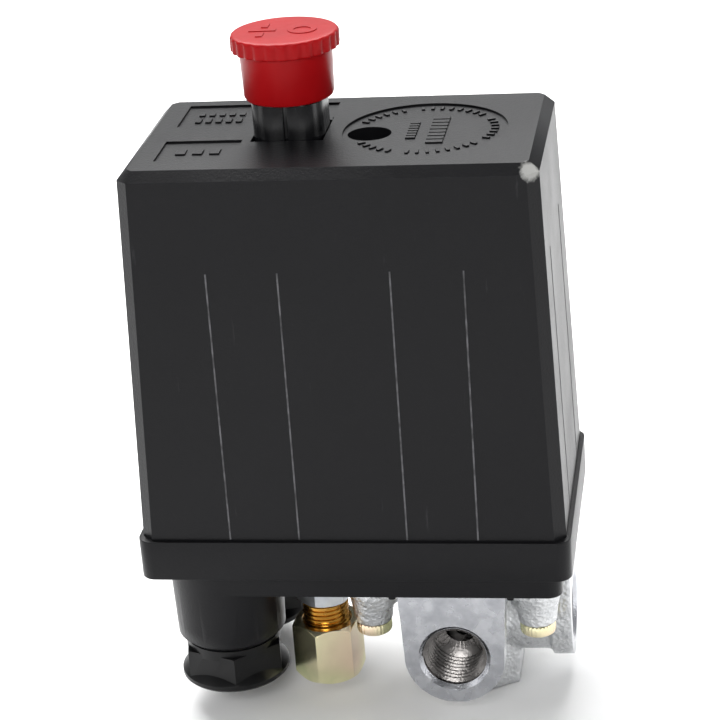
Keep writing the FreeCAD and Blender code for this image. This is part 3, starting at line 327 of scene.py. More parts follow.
def turnedBar(start, profile, axis=(0, 0, 1), steps=96):
    # full turn of radius and height pairs
    shape = bmesh.new()
    points = [shape.verts.new((radius * mm, 0, height * mm)) for radius, height in profile]
    links = [shape.edges.new(pair) for pair in zip(points, points[1:])]
    bmesh.ops.spin(shape, geom=points + links, cent=(0, 0, 0), axis=(0, 0, 1), angle=2 * math.pi,
                   steps=steps, use_merge=True)
    bmesh.ops.remove_doubles(shape, verts=shape.verts, dist=1e-7)
    bmesh.ops.recalc_face_normals(shape, faces=shape.faces)
    place = Matrix.Translation(Vector(start) * mm) @ axisTurn(axis)
    bmesh.ops.transform(shape, matrix=place, verts=shape.verts)
    return shape


def threadRidge(start, radius, depth, pitch, turns, axis=(0, 0, 1), steps=40):
    # helical ridge on a wall of that radius; a positive depth stands inwards
    shape = bmesh.new()
    bury = math.copysign(0.06, depth)
    profile = [(radius + bury, pitch * 0.06), (radius - depth, pitch * 0.38), (radius - depth, pitch * 0.6),
               (radius + bury, pitch * 0.92)]
    face = shape.faces.new([shape.verts.new((x * mm, 0, z * mm)) for x, z in profile])
    count = round(turns * steps)
    bmesh.ops.spin(shape, geom=[face, *face.edges, *face.verts], cent=(0, 0, 0), axis=(0, 0, 1),
                   dvec=(0, 0, pitch * mm / steps), angle=2 * math.pi * turns, steps=count)
    bmesh.ops.holes_fill(shape, edges=[edge for edge in shape.edges if edge.is_boundary], sides=0)
    bmesh.ops.recalc_face_normals(shape, faces=shape.faces)
    place = Matrix.Translation(Vector(start) * mm) @ axisTurn(axis)
    bmesh.ops.transform(shape, matrix=place, verts=shape.verts)
    return shape


def joined(*shapes):
    whole = bmesh.new()
    for shape in shapes:
        mesh = bpy.data.meshes.new("passing")
        shape.to_mesh(mesh)
        whole.from_mesh(mesh)
        bpy.data.meshes.remove(mesh)
        shape.free()
    return whole


def toPiece(name, shape, *looks):
    mesh = bpy.data.meshes.new(name)
    shape.to_mesh(mesh)
    shape.free()
    piece = bpy.data.objects.new(name, mesh)
    bpy.context.scene.collection.objects.link(piece)
    for look in looks:
        mesh.materials.append(look)
    return piece


def settle(piece):
    # the modifiers' result becomes the mesh
    depsgraph = bpy.context.evaluated_depsgraph_get()
    mesh = bpy.data.meshes.new_from_object(piece.evaluated_get(depsgraph))
    piece.modifiers.clear()
    old, piece.data = piece.data, mesh
    bpy.data.meshes.remove(old)
    mesh.name = piece.name
    return piece


def combine(piece, shape, operation="DIFFERENCE", look=None):
    tool = toPiece("tool", shape, *([look] if look else []))
    step = piece.modifiers.new("combine", "BOOLEAN")
    step.object, step.operation, step.solver = tool, operation, "MANIFOLD"
    step.material_mode = "TRANSFER" if look else "INDEX"
    settle(piece)
    bpy.data.objects.remove(tool)
    return piece


def finishEdges(piece, width=0.0, segments=2, angle=32.0):
    # small radii on the sharp edges, flat faces kept flat
    piece.data.shade_smooth()
    piece.data.set_sharp_from_angle(angle=math.radians(angle))
    if width:
        step = piece.modifiers.new("edges", "BEVEL")
        step.width, step.segments, step.profile = width * mm, segments, 0.5
        step.limit_method, step.angle_limit = "ANGLE", math.radians(angle)
        step.harden_normals = True
        settle(piece)
    return piece


def hangOn(piece, body, slot, *replaced):
    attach(piece, body)
    if replaced:
        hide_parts(*replaced)
    return piece


# ---- cover ----

coverLook = {"leanX": 2.5, "leanY": 1.9, "bevel": 1.9, "corner": 2.3, "wall": 2.2, "edge": 0.35,
             "recess": 0.45, "circleRadius": 16.3, "circleX": 10.9, "circleY": 1.3,
             "labels": (((-53.4, 5.0), (-22.1, 19.0)), ((-53.5, -16.5), (-38.1, -4.3))),
             "wellRadius": 4.35, "wellWall": 1.4, "wellLow": 95.0, "wellFloor": 96.4, "gate": 14.5}
coverLow, coverHigh = (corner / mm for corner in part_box("cover"))
coverMiddle = (coverLow.x + coverHigh.x) / 2
wellSpot = sum(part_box("cover_screw"), Vector()) / 2 / mm
knobSpot = sum(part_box("knob"), Vector()) / 2 / mm


def leaningBox(inset, low, high, corner):
    # the cover's tapered box, drawn in by inset all round, between two levels
    shape = block((coverLow.x + inset, coverLow.y + inset, low),
                  (coverHigh.x - inset, coverHigh.y - inset, high))
    tall = coverHigh.z - coverLow.z
    for vert in shape.verts:
        up = (vert.co.z / mm - coverLow.z) / tall
        vert.co.x += math.copysign(coverLook["leanX"] * up * mm, coverMiddle * mm - vert.co.x)
        vert.co.y -= math.copysign(coverLook["leanY"] * up * mm, vert.co.y)
    uprights = [edge for edge in shape.edges if abs(edge.verts[0].co.z - edge.verts[1].co.z) > 0.01]
    bmesh.ops.bevel(shape, geom=uprights, offset=corner * mm, offset_type="OFFSET",
                    segments=1, profile=0.5, affect="EDGES", material=-1, clamp_overlap=True)
    return shape


def frontWall(z):
    return coverLow.y + coverLook["leanY"] * (z - coverLow.z) / (coverHigh.z - coverLow.z)


def makeCover():
    look = coverLook
    shape = leaningBox(0, coverLow.z, coverHigh.z, look["corner"])
    rim = [edge for edge in shape.edges if min(vert.co.z for vert in edge.verts) > coverHigh.z * mm - 1e-5]
    bmesh.ops.bevel(shape, geom=rim, offset=look["bevel"] * mm, offset_type="OFFSET", segments=1, profile=0.5,
                    affect="EDGES", material=-1, clamp_overlap=True)
    cover = toPiece("cover_shell", shape, polyamide)
    top = coverHigh.z
    combine(cover, leaningBox(look["wall"], coverLow.z - 3, top - look["wall"], look["corner"] - 1))
    combine(cover, drum((wellSpot.x, wellSpot.y, look["wellLow"]), look["wellRadius"] + look["wellWall"],
                        top - look["wellLow"] - 1), "UNION")
    # recessed labels, screw well, stem's gate
    centreX, centreY = wellSpot.x + look["circleX"], wellSpot.y + look["circleY"]
    sunk = top - look["recess"]
    combine(cover, drum((centreX, centreY, sunk), look["circleRadius"], 3, sides=128))
    combine(cover, joined(*[block((*low, sunk), (*high, top + 2)) for low, high in look["labels"]]))
    combine(cover, drum((wellSpot.x, wellSpot.y, look["wellFloor"]), look["wellRadius"], 40))
    gate = look["gate"] / 2
    combine(cover, block((knobSpot.x - gate, knobSpot.y - gate, top - 5),
                         (knobSpot.x + gate, knobSpot.y + gate, top + 2)))
    finishEdges(cover, look["edge"], 3)
    return hangOn(cover, "housing", "housing", "cover")


def makeMarkings():
    # raised plain marks in the sunk labels: strokes round the ring, two columns of bars, a few dots
    look = {"height": 0.4, "ringRadius": 13.8, "strokes": 44, "strokeLong": 1.6, "strokeWide": 0.7,
            "columns": ((2.6, 3.4, 8, 2.1), (-2.4, 2.0, 7, 1.5)), "gap": 0.55, "wellRim": 1.6,
            "rows": ((-50.4, 2.1, 5, 8.2, 10.6, 1.2), (-50.4, 2.1, 5, 12.6, 14.2, 1.2),
                     (-50.2, 3.4, 3, -12.0, -9.2, 2.0))}
    floor = coverHigh.z - coverLook["recess"] - 0.05
    roof = floor + look["height"]
    centreX, centreY = wellSpot.x + coverLook["circleX"], wellSpot.y + coverLook["circleY"]
    marks = []
    for i in range(look["strokes"]):
        turn = 2 * math.pi * i / look["strokes"]
        x, y = centreX + look["ringRadius"] * math.cos(turn), centreY + look["ringRadius"] * math.sin(turn)
        reach = math.hypot(x - wellSpot.x, y - wellSpot.y)
        if reach < coverLook["wellRadius"] + look["wellRim"] or i % 9 == 4:
            continue
        stroke = block((-look["strokeLong"] / 2, -look["strokeWide"] / 2, floor),
                       (look["strokeLong"] / 2, look["strokeWide"] / 2, roof))
        spot = Matrix.Translation((x * mm, y * mm, 0)) @ Matrix.Rotation(turn, 4, "Z")
        bmesh.ops.transform(stroke, matrix=spot, verts=stroke.verts)
        marks.append(stroke)
    for offset, wide, count, long in look["columns"]:
        for k in range(count):
            start = centreY + (k - count / 2) * long
            marks.append(block((centreX + offset - wide / 2, start, floor),
                               (centreX + offset + wide / 2, start + long - look["gap"], roof)))
    for left, stride, count, near, back, wide in look["rows"]:
        for k in range(count):
            marks.append(block((left + stride * k, near, floor), (left + wide + stride * k, back, roof)))
    raised = toPiece("label_marks", joined(*marks), polyamide)
    return hangOn(finishEdges(raised, 0.12, 2), "housing", "housing")


def makeScoreLines():
    # thin proud lines left by the mould's inserts, up the front and the right-hand end
    look = {"fronts": (-43.6, -29.5, -7.6, 6.6), "ends": (-12.0, 12.0), "top": 100.8, "wide": 0.32,
            "proud": 0.07, "buried": 0.1, "lowest": 0.3}
    low, far = coverLow.z + look["lowest"], 30
    lines = []
    for sign in (-1, 1):
        for x in look["fronts"]:
            line = block((x - look["wide"] / 2, sign * far - 1, low),
                         (x + look["wide"] / 2, sign * far + 1, look["top"]))
            for vert in line.verts:
                out = look["proud"] if vert.co.y * sign > far * mm else -look["buried"]
                vert.co.y = -sign * (frontWall(vert.co.z / mm) - out) * mm
            lines.append(line)
    for y in look["ends"]:
        line = block((far - 1, y - look["wide"] / 2, low), (far + 1, y + look["wide"] / 2, look["top"]))
        for vert in line.verts:
            up = (vert.co.z / mm - coverLow.z) / (coverHigh.z - coverLow.z)
            out = look["proud"] if vert.co.x > far * mm else -look["buried"]
            vert.co.x = (coverHigh.x - coverLook["leanX"] * up + out) * mm
        lines.append(line)
    return hangOn(finishEdges(toPiece("mould_lines", joined(*lines), paleLinePolyamide)), "housing", "housing")


makeCover()
makeMarkings()
makeScoreLines()
print("stage: cover")


# ---- base ----

def mergedCopy(node):
    # the node's own triangles, welded into clean flat faces
    shape = bmesh.new()
    shape.from_mesh(nodes[node].data)
    bmesh.ops.remove_doubles(shape, verts=shape.verts, dist=1e-6)
    bmesh.ops.dissolve_limit(shape, angle_limit=math.radians(0.3), verts=shape.verts, edges=shape.edges,
                             use_dissolve_boundaries=False, delimit={"NORMAL"})
    return shape


def roundPicked(shape, width, wanted, segments=2):
    edges = [edge for edge in shape.edges
             if edge.is_manifold and edge.is_convex and edge.calc_face_angle(0) > math.radians(35)
             and wanted(edge)]
    bmesh.ops.bevel(shape, geom=edges, offset=width * mm, offset_type="OFFSET", segments=segments,
                    profile=0.5, affect="EDGES", material=-1, clamp_overlap=True)
    return shape


def makeBase():
    # rim and plinth with moulded radii, two small lugs below the plinth's front edge
    look = {"edge": 0.45, "tabs": (-12.2, 12.0), "tabY": -21.4, "tabWide": 1.5, "tabDeep": 2.0,
            "tabDrop": 1.8, "tabEdge": 0.4, "rimHigh": 8.6, "plinthHigh": 5.0,
            "sideY": 23.5, "rightX": 21.5, "leftX": -46.5}
    rimTop = coverLow.z
    rimLow = rimTop - look["rimHigh"]
    plinthLow = rimLow - look["plinthHigh"]

    def onOutside(edge):
        heights = [vert.co.z / mm for vert in edge.verts]
        level = max(heights) - min(heights) < 0.01
        middle = (edge.verts[0].co + edge.verts[1].co) / 2 / mm
        rim = level and (abs(heights[0] - rimLow) < 0.05 or abs(heights[0] - rimTop) < 0.05)
        plinth = plinthLow - 0.05 < min(heights) and max(heights) < rimLow + 0.05
        edgeOfPlinth = abs(middle.y) > look["sideY"] or not look["leftX"] <= middle.x <= look["rightX"]
        upright = abs(edge.verts[0].co.x - edge.verts[1].co.x) < 1e-6
        return rim or (plinth and edgeOfPlinth and (level or upright))

    shape = roundPicked(mergedCopy("base"), look["edge"], onOutside, 3)
    base = toPiece("base_tray", shape, polyamide)
    base.data.materials.clear()
    base.data.materials.append(polyamide)
    finishEdges(base)
    tabs = [block((x - look["tabWide"] / 2, look["tabY"] - look["tabDeep"] / 2, plinthLow - look["tabDrop"]),
                  (x + look["tabWide"] / 2, look["tabY"] + look["tabDeep"] / 2, plinthLow + 0.3))
            for x in look["tabs"]]
    lugs = finishEdges(toPiece("base_lugs", joined(*tabs), polyamide), look["tabEdge"], 3)
    hangOn(lugs, "housing", "housing")
    return hangOn(base, "housing", "housing", "base")


makeBase()
print("stage: base")


# ---- knob and its stem ----

def makeKnob():
    # disc with ribs round its rim on a slightly tapered skirt, plain raised marks on the crown
    look = {"ribs": 26, "ribDepth": 0.4, "discEdge": 0.75, "lipEdge": 0.35, "marks": 0.2, "dome": 0.04,
            "taper": 0.25, "skirt": 9.2, "disc": 3.3, "bore": 6.4, "crownThick": 3.5, "markEdge": 0.06,
            "bars": (((-7.0, -0.7), (-1.6, 0.7)), ((-5.0, 1.9), (-3.6, 4.6)), ((-5.0, -4.6), (-3.6, -1.9))),
            "ringX": 3.6, "ringOuter": 2.9, "ringInner": 1.7}
    low, high = (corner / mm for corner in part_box("knob"))
    radius, skirt, bore = (high.x - low.x) / 2, look["skirt"], look["bore"]
    tall = high.z - low.z - look["marks"]
    under, roof = tall - look["disc"], tall - look["crownThick"]
    curve = [math.radians(a) for a in (0, 22.5, 45, 67.5, 90)]
    crown = [(radius - look["discEdge"] * (1 - math.cos(a)), tall - look["discEdge"] * (1 - math.sin(a)))
             for a in curve]
    lip = [(radius - look["lipEdge"] * (1 - math.cos(a)), under + look["lipEdge"] * (1 - math.sin(a)))
           for a in reversed(curve)]
    dome = [(radius * f * 0.93, tall + look["dome"] * (1 - f * f)) for f in (0.86, 0.7, 0.5, 0.25)]
    foot = skirt - look["taper"]
    profile = ([(0, roof), (bore, roof), (bore, 0), (foot - 0.8, 0), (foot - 0.25, 0.25), (foot, 0.8),
                (skirt, under - 0.5), (skirt + 0.15, under - 0.12), (skirt + 0.5, under)]
               + lip + crown + dome + [(0, tall + look["dome"])])
    shape = turnedBar((knobSpot.x, knobSpot.y, low.z), profile, steps=look["ribs"] * 10)
    for vert in shape.verts:
        arm = Vector((vert.co.x - knobSpot.x * mm, vert.co.y - knobSpot.y * mm))
        if arm.length > (skirt + 0.55) * mm and vert.co.z > (low.z + under - 0.05) * mm:
            wave = 0.5 + 0.5 * math.cos(look["ribs"] * math.atan2(arm.y, arm.x))
            fade = min(1, max(0, (high.z - look["marks"] - vert.co.z / mm - 0.1) / 0.6))
            share = fade * min(1, (arm.length / mm - skirt - 0.5) / (radius - skirt - 0.9))
            arm *= 1 - look["ribDepth"] * (1 - wave) ** 1.5 * share * mm / arm.length
            vert.co.x, vert.co.y = knobSpot.x * mm + arm.x, knobSpot.y * mm + arm.y
    knob = finishEdges(toPiece("push_knob", shape, polypropylene), angle=40)
    top = high.z - look["marks"]
    marks = []
    for start, end in look["bars"]:
        marks.append(block((knobSpot.x + start[0], knobSpot.y + start[1], top - 0.3),
                           (knobSpot.x + end[0], knobSpot.y + end[1], top + 0.2)))
    outer, inner = look["ringOuter"], look["ringInner"]
    ring = turnedBar((knobSpot.x + look["ringX"], knobSpot.y, top - 0.3),
                     [(outer, 0), (outer, 0.5), (inner, 0.5), (inner, 0), (outer, 0)])
    raised = finishEdges(toPiece("knob_marks", joined(*marks, ring), polypropylene), look["markEdge"], 2)
    hangOn(raised, "knob", "red")
    return hangOn(knob, "knob", "red", "knob")


def makeStem():
    def sharpRims(edge):
        return min(vert.co.z for vert in edge.verts) > coverHigh.z * mm - 0.02
    stem = toPiece("push_stem", roundPicked(mergedCopy("knob_stem"), 0.3, sharpRims), acetal)
    stem.data.materials.clear()
    stem.data.materials.append(acetal)
    return hangOn(finishEdges(stem), "knob", "black", "knob_stem")


makeKnob()
makeStem()
print("stage: knob")


# ---- cable glands ----

def makeGlandNut(place):
    # hexagon that runs out in arcs on a flared round flange, above it a plain collar
    look = {"circle": 11.1, "corner": 41.0, "flange": 11.35, "flangeHigh": 1.7, "hexHigh": 6.0,
            "collar": 9.9, "throat": 7.95, "cableBore": 5.5, "leadIn": 0.9, "flare": 9.5, "flareHigh": 1.2,
            "crown": 0.35, "edge": 0.28}
    node = "gland_nut_" + place
    low, high = (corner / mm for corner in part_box(node))
    x, y = (low.x + high.x) / 2, (low.y + high.y) / 2
    hexLow = low.z + look["flangeHigh"]
    hexTop = hexLow + look["hexHigh"]
    prism = hexagon((x, y, hexLow - 0.5), look["circle"], look["hexHigh"] + 0.5, look["corner"])
    nut = toPiece(node + "_shell", prism, nylon)
    crown = [(0, -2), (look["circle"] + 1, -2), (look["circle"] + 1, look["hexHigh"] - look["crown"] - 0.6),
             (look["circle"] - look["crown"], look["hexHigh"] + 0.02), (0, look["hexHigh"] + 0.02)]
    combine(nut, turnedBar((x, y, hexLow), crown), "INTERSECT")
    flareTop = look["flangeHigh"] + look["flareHigh"]
    flange = [(0, 0), (look["flange"] - 0.5, 0), (look["flange"], 0.5),
              (look["flange"], look["flangeHigh"] - 0.35), (look["flange"] - 0.3, look["flangeHigh"]),
              (look["flare"], flareTop), (0, flareTop)]
    combine(nut, turnedBar((x, y, low.z), flange), "UNION")
    upper = high.z - hexTop + 1
    collar = [(0, 0), (look["collar"], 0), (look["collar"], 2.3), (look["throat"], 2.3),
              (look["throat"], upper), (0, upper)]
    combine(nut, turnedBar((x, y, hexTop - 1), collar), "UNION")
    bore, mouth = look["cableBore"], look["cableBore"] + look["leadIn"]
    passage = [(0, 0), (mouth, 0), (mouth, 1), (bore, 1 + look["leadIn"]), (bore, 30), (0, 30)]
    combine(nut, turnedBar((x, y, low.z - 1), passage))
    return hangOn(finishEdges(nut, look["edge"], 2, 20), "housing", "gland", node)


for place in ("front", "rear"):
    makeGlandNut(place)
print("stage: glands")


# ---- bleed valve ----

valveLook = {"corner": 19.4, "thread": 4.85, "pitch": 1.0, "root": 4.4, "hexLow": 24.0, "hexHigh": 6.0,
             "plungerBore": 1.55, "tubeBore": 3.05}


def makeBleedNut():
    # tube nut: hexagon turned to a thirty-degree chamfer at both ends
    look = {"circle": 7.5, "chamferCircle": 6.45, "chamferHigh": 1.0925, "tubeDeep": 4.1, "edge": 0.14}
    low, high = (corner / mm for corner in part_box("bleed_nut"))
    x, y, tall = (low.x + high.x) / 2, (low.y + high.y) / 2, high.z - low.z
    nut = toPiece("tube_nut", hexagon((x, y, low.z), look["circle"], tall, valveLook["corner"]), yellowZinc)
    rise, outside = look["chamferHigh"], look["circle"] + 0.2
    barrel = [(0, 0), (look["chamferCircle"], 0), (outside, rise), (outside, tall - rise),
              (look["chamferCircle"], tall), (0, tall)]
    combine(nut, turnedBar((x, y, low.z), barrel), "INTERSECT")
    tube, thread, deep = valveLook["tubeBore"], valveLook["thread"], look["tubeDeep"]
    bore = [(0, -1), (tube + 0.55, -1), (tube + 0.55, 0), (tube, 0.55), (tube, deep), (thread, deep),
            (thread, tall - 0.4), (thread + 0.45, tall), (thread + 0.45, tall + 1), (0, tall + 1)]
    combine(nut, turnedBar((x, y, low.z), bore))
    return hangOn(finishEdges(nut, look["edge"], 2, 20), "housing", "yellow_zinc", "bleed_nut")


def makeBleedThread():
    # brass thread M10 x 1 between the tube nut and the valve's hexagon
    look = {"ridge": 0.4, "core": 4.45, "hiddenCore": 2.2, "hiddenRidge": 1.4}
    low, high = (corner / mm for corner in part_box("bleed_valve_body"))
    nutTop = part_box("bleed_nut")[1].z / mm
    x, y = (low.x + high.x) / 2, (low.y + high.y) / 2
    gap, core = valveLook["hexLow"] - nutTop, look["core"]
    turns = (gap + 1.0) / valveLook["pitch"]
    tall = gap + look["hiddenCore"]
    core = turnedBar((x, y, nutTop - look["hiddenCore"]),
                     [(0, 0), (core - 0.15, 0), (core, 0.2), (core, tall), (0, tall)])
    ridge = threadRidge((x, y, nutTop - look["hiddenRidge"]), valveLook["root"], -look["ridge"],
                        valveLook["pitch"], turns)
    thread = finishEdges(toPiece("bleed_thread", joined(core, ridge), turnedBrass))
    return hangOn(thread, "housing", "brass")


def makeBleedBody():
    # bright hexagon of the valve body with its chamfered corners
    look = {"circle": 5.9, "chamferCircle": 5.2, "shankTop": 33.0, "innerCircle": 5.2, "innerHigh": 2.0,
            "tail": 4.8, "edge": 0.15}
    low, high = (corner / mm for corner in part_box("bleed_valve_body"))
    x, y = (low.x + high.x) / 2, (low.y + high.y) / 2
    hexLow, hexHigh, bore = valveLook["hexLow"], valveLook["hexHigh"], valveLook["plungerBore"]
    prism = hexagon((x, y, hexLow), look["circle"], hexHigh, valveLook["corner"])
    body = toPiece("valve_body", prism, whiteZinc)
    outside = look["circle"] + 0.1
    chamfer = [(0, 0), (look["chamferCircle"], 0), (outside, 0.5), (outside, hexHigh), (0, hexHigh)]
    combine(body, turnedBar((x, y, hexLow), chamfer), "INTERSECT")
    neckLow = hexLow + hexHigh - 0.5
    neckHigh = look["shankTop"] - neckLow
    neck = [(0, 0), (valveLook["thread"], 0), (valveLook["thread"], neckHigh), (0, neckHigh)]
    combine(body, turnedBar((x, y, neckLow), neck), "UNION")
    inner = hexagon((x, y, look["shankTop"] - 0.01), look["innerCircle"], look["innerHigh"], 0)
    combine(body, inner, "UNION")
    combine(body, turnedBar((x, y, low.z - 1), [(0, 0), (bore, 0), (bore, 30), (0, 30)]))
    wide, root = look["tail"], valveLook["root"]
    tail = turnedBar((x, y, low.z), [(bore, 0), (root, 0), (wide, 0.4), (wide, 2.6), (root, 3.0),
                                     (root, 10.2), (bore, 10.2), (bore, 0)])
    hangOn(finishEdges(toPiece("valve_tail", tail, turnedBrass)), "housing", "brass")
    return hangOn(finishEdges(body, look["edge"], 2, 20), "housing", "brass", "bleed_valve_body")


makeBleedNut()
makeBleedThread()
makeBleedBody()
print("stage: bleed valve")


# ---- manifold ----

castLook = {"voxel": 0.42, "smooth": 6, "ripple": 0.05, "flangeX": 21.5, "flangeY": 19.6, "flangeLow": 26.8,
            "flangeTop": 30.0, "hexCircle": 13.3, "hexHigh": 10.5, "column": 10.5, "collar": 13.5,
            "front": 23.0, "right": 23.2, "portLevel": 15.1, "plate": 4.4, "plateRadius": 10.3, "splay": 1.08,
            "neck": 9.3, "lugs": ((16.7, 15.0), (-17.4, 15.0), (-17.4, -15.0), (16.7, -15.0)), "lugLow": 19.8,
            "lugRadius": 4.6, "screwBore": 2.15, "bore": 6.58, "boreDeep": 12.0, "tankBore": 8.33,
            "passage": 3.5, "lead": 0.55, "pitch": 1.337, "threadDeep": 0.72, "threadTurns": 7.4,
            "flangeCorner": 4.5, "coarse": 2.4, "fine": 0.9, "chamber": 11.0, "seat": 17.2}


def castPort(direction, reach):
    # neck, U-shaped plate that narrows a little downwards, and the block over them
    look = castLook
    level, plate, radius = look["portLevel"], look["plate"], look["plateRadius"]
    turn = Matrix.Rotation(math.atan2(direction[1], direction[0]), 4, "Z")
    top = look["flangeTop"] + 0.3
    tongue = block((reach - plate, -radius, level - 1.5), (reach + 0.3, radius, top))
    for vert in tongue.verts:
        if vert.co.z > (level + 1) * mm:
            vert.co.y *= look["splay"]
    parts = [drum((0, 0, level), look["neck"], reach - 1, (1, 0, 0)),
             block((0, -look["neck"], level), (reach - 1, look["neck"], look["flangeLow"] - 0.7)),
             drum((reach - plate, 0, level), radius + 0.1, plate + 0.3, (1, 0, 0)), tongue]
    for part in parts:
        bmesh.ops.transform(part, matrix=turn, verts=part.verts)
    return parts


def makeManifold():
    look = castLook
    ports = [((0, -1), look["front"]), ((1, 0), look["right"]), ((0, 1), look["front"])]
    lumps = [hexagon((0, 0, -0.3), look["hexCircle"], look["hexHigh"] + 0.3, 30),
             drum((0, 0, 5), look["column"], 22), drum((0, 0, look["flangeLow"] - 4), look["collar"], 5)]
    flange = block((-look["flangeX"], -look["flangeY"], look["flangeLow"]),
                   (look["flangeX"], look["flangeY"], look["flangeTop"] + 0.3))
    uprights = [edge for edge in flange.edges if abs(edge.verts[0].co.z - edge.verts[1].co.z) > 1e-4]
    bmesh.ops.bevel(flange, geom=uprights, offset=look["flangeCorner"] * mm, offset_type="OFFSET", segments=8,
                    profile=0.5, affect="EDGES", material=-1)
    lumps.append(flange)
    for direction, reach in ports:
        lumps += castPort(direction, reach)
    for x, y in look["lugs"]:
        lumps.append(drum((x, y, look["lugLow"]), look["lugRadius"] - 0.7, 9, end=look["lugRadius"] + 0.5))
        lumps.append(drum((x * 0.97, y * 0.97, look["flangeLow"] - 2.6), look["lugRadius"] + 0.4, 3,
                          end=look["lugRadius"] + 1.2))
    body = toPiece("cast_manifold", joined(*lumps), castAluminium)
    remesh = body.modifiers.new("fuse", "REMESH")
    remesh.mode, remesh.voxel_size = "VOXEL", look["voxel"] * mm
    smooth = body.modifiers.new("fillets", "SMOOTH")
    smooth.factor, smooth.iterations = 0.5, look["smooth"]
    settle(body)
    shape = bmesh.new()
    shape.from_mesh(body.data)
    for vert in shape.verts:
        swell = noise.noise(vert.co * grain(look["coarse"]))
        swell += 0.6 * noise.noise(vert.co * grain(look["fine"]))
        vert.co += vert.normal * swell * look["ripple"] * mm
    shape.to_mesh(body.data)
    shape.free()
    body.data.materials.clear()
    body.data.materials.append(castAluminium)
    # machined faces: three ports, the tank port and the seat under the base
    far, high, level = 30, 33, look["portLevel"]
    faces = [block((-14, -far, -1), (14, -look["front"], high)),
             block((-14, look["front"], -1), (14, far, high)),
             block((look["right"], -14, -1), (far, 14, high)),
             block((-25, -27, look["flangeTop"]), (27, 27, high)), block((-14, -14, -2), (14, 14, 0))]
    for face in faces:
        combine(body, face, look=turned)
    bores = []
    for direction, reach in ports:
        lead, deep = look["lead"], look["boreDeep"] + 1
        place = (direction[0] * (reach + 1), direction[1] * (reach + 1), level)
        bore = [(0, 0), (look["bore"] + lead + 1, 0), (look["bore"] + lead, 1), (look["bore"], 1 + lead),
                (look["bore"], deep - 1), (look["passage"], deep + 1), (0, deep + 1)]
        bores.append(turnedBar(place, bore, (-direction[0], -direction[1], 0)))
    tank = look["tankBore"]
    bores.append(turnedBar((0, 0, -1), [(0, 0), (tank + 1.3, 0), (tank + 0.5, 1), (tank, 1.5), (tank, 12),
                                        (look["passage"], 14.5), (0, 14.5)]))
    chamber, seat = look["chamber"], look["seat"]
    bores.append(turnedBar((0, 0, 0), [(0, 27.5), (chamber, 27.5), (chamber, 28.5), (seat, 28.5), (seat, 32),
                                       (0, 32)]))
    for x, y in look["lugs"]:
        bores.append(drum((x, y, look["lugLow"] - 2), look["screwBore"], 20, sides=32))
    # the bores take the darker aluminium, painted shade inside the ports
    combine(body, joined(*bores), look=boreShadeAluminium)
    # bright lead-in chamfer of each side port
    rings = []
    for (x, y), reach in ports:
        cone = [(0, 0), (look["bore"] + 1.85, 0), (look["bore"] + 0.05, 1.8), (0, 1.8)]
        rings.append(turnedBar((x * (reach + 1), y * (reach + 1), level), cone, (-x, -y, 0)))
    combine(body, joined(*rings), look=turned)
    combine(body, drum((0, 0, 12), look["passage"], 17), look=boreShadeAluminium)
    for direction, reach in ports:
        passage = drum((0, 0, level), look["passage"], reach - look["boreDeep"] + 2, (*direction, 0))
        combine(body, passage, look=boreShadeAluminium)
    finishEdges(body, angle=38)
    hangOn(body, "housing", "cast", "manifold")
    # G1/4 thread in the three side ports, G3/8 in the tank port
    threads = []
    for (x, y), reach in ports:
        start = (x * (reach - 0.5), y * (reach - 0.5), level)
        threads.append(threadRidge(start, look["bore"], look["threadDeep"], look["pitch"],
                                   look["threadTurns"], (-x, -y, 0), 56))
    # the threads take the same darker aluminium, painted shade inside the bores
    threads.append(threadRidge((0, 0, 0.6), look["tankBore"], look["threadDeep"], look["pitch"],
                               look["threadTurns"], steps=56))
    hangOn(finishEdges(toPiece("port_threads", joined(*threads), boreShadeAluminium)), "housing", "cast")


def makeManifoldScrews():
    # socket screws: knurled heads with a chamfered crown and a hexagonal socket
    look = {"head": 3.7, "headHigh": 2.5, "knurls": 28, "knurlDeep": 0.16, "socket": 1.75, "socketDeep": 1.5,
            "shank": 2.0}
    low, high = (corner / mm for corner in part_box("manifold_screws"))
    heads = []
    profile = [(0, 0), (look["head"] - 0.6, 0), (look["head"] - 0.15, 0.35), (look["head"], 0.7),
               (look["head"], look["headHigh"] - 0.3), (look["head"] - 0.2, look["headHigh"]),
               (look["shank"], look["headHigh"]), (look["shank"], high.z - low.z), (0, high.z - low.z)]
    for x, y in castLook["lugs"]:
        head = turnedBar((x, y, low.z), profile, steps=look["knurls"] * 4)
        for vert in head.verts:
            arm = Vector((vert.co.x - x * mm, vert.co.y - y * mm))
            if arm.length > (look["head"] - 0.05) * mm:
                wave = abs(math.sin(look["knurls"] / 2 * math.atan2(arm.y, arm.x)))
                scale = 1 - look["knurlDeep"] * wave * mm / arm.length
                vert.co.x, vert.co.y = x * mm + arm.x * scale, y * mm + arm.y * scale
        heads.append(head)
    screws = toPiece("socket_screws", joined(*heads), yellowZinc)
    sockets = [hexagon((x, y, low.z - 1), look["socket"], look["socketDeep"] + 1, 0)
               for x, y in castLook["lugs"]]
    combine(screws, joined(*sockets))
    return hangOn(finishEdges(screws, angle=35), "housing", "yellow_zinc", "manifold_screws")


makeManifold()
makeManifoldScrews()
print("stage: manifold")


# ---- light, floor, camera ----

viewPoint = {"aim": (-17.92, -5.27, 74.23), "azimuth": 9.85, "elevation": 23.06, "roll": -4.40,
             "distance": 482.0, "lens": 118.7}


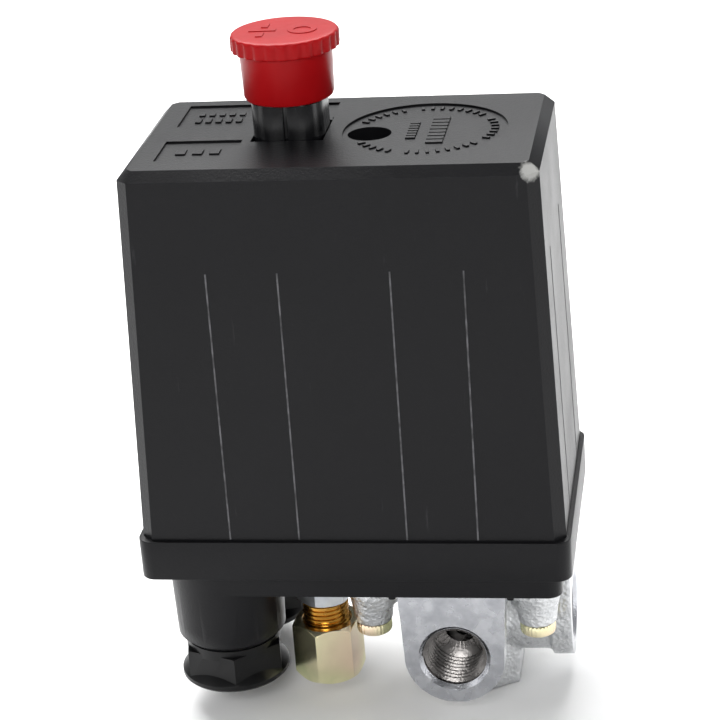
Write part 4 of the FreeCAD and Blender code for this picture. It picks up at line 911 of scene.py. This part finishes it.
def placeCamera():
    view = viewPoint
    side, rise = math.radians(view["azimuth"]), math.radians(view["elevation"])
    back = Vector((math.sin(side) * math.cos(rise), -math.cos(side) * math.cos(rise), math.sin(rise)))
    lens = bpy.data.cameras.new("camera")
    lens.lens, lens.sensor_width = view["lens"], 36.0
    lens.clip_start, lens.clip_end = 0.01, 20.0
    camera = bpy.data.objects.new("camera", lens)
    bpy.context.scene.collection.objects.link(camera)
    turn = back.to_track_quat("Z", "Y").to_matrix().to_4x4()
    turn = turn @ Matrix.Rotation(math.radians(view["roll"]), 4, "Z")
    camera.matrix_world = Matrix.Translation((Vector(view["aim"]) + back * view["distance"]) * mm) @ turn
    bpy.context.scene.camera = camera


def addSoftbox(name, place, aim, size, power):
    light = bpy.data.lights.new(name, "AREA")
    light.shape, light.size, light.size_y, light.energy = "RECTANGLE", size[0], size[1], power
    lamp = bpy.data.objects.new(name, light)
    bpy.context.scene.collection.objects.link(lamp)
    direction = Vector(place) - Vector(aim)
    lamp.matrix_world = Matrix.Translation(place) @ direction.to_track_quat("Z", "Y").to_matrix().to_4x4()


def setStudio():
    shape = bmesh.new()
    bmesh.ops.create_grid(shape, x_segments=1, y_segments=1, size=4.0,
                          matrix=Matrix.Translation((0, 0, -0.0002)))
    material, tree, place = startMaterial("painted_floor")
    speck = addNode(tree, "ShaderNodeTexNoise", {"Vector": place, "Scale": grain(40.0), "Detail": 2.0})
    tone = addNode(tree, "ShaderNodeMix", {0: speck.outputs["Fac"], 6: colour("#f8f8f8"),
                                           7: colour("#fcfcfc")}, data_type="RGBA")
    endMaterial(material, tree, {"Base Color": tone.outputs[2], "Roughness": 0.9})
    toPiece("floor", shape, material)
    world = bpy.data.worlds.new("studio")
    bpy.context.scene.world = world
    world.use_nodes = True
    # the room is pale behind the object and dim in front of it
    sky, backdrop = world.node_tree, world.node_tree.nodes["Background"]
    backdrop.inputs["Color"].default_value = colour("#f6f7f8")
    place = addNode(sky, "ShaderNodeTexCoord").outputs["Generated"]
    toward = addNode(sky, "ShaderNodeSeparateXYZ", {0: place})
    dim = addNode(sky, "ShaderNodeMapRange", {"Value": toward.outputs["Y"], "From Min": -0.5, "From Max": 0.6,
                                              "To Min": 0.16, "To Max": 0.6})
    sky.links.new(dim.outputs[0], backdrop.inputs["Strength"])
    middle = (-0.02, 0.0, 0.08)
    addSoftbox("top_box", (-0.2, 0.5, 0.9), middle, (0.9, 0.9), 21.0)
    addSoftbox("floor_box", (-0.1, -1.3, 0.8), (-0.1, -0.9, 0.0), (0.6, 0.6), 10.0)
    addSoftbox("left_box", (-0.9, -0.5, 0.45), middle, (0.5, 0.9), 2.0)
    addSoftbox("right_box", (0.9, -0.2, 0.35), middle, (0.4, 0.8), 2.0)


placeCamera()
setStudio()
print("stage: studio")
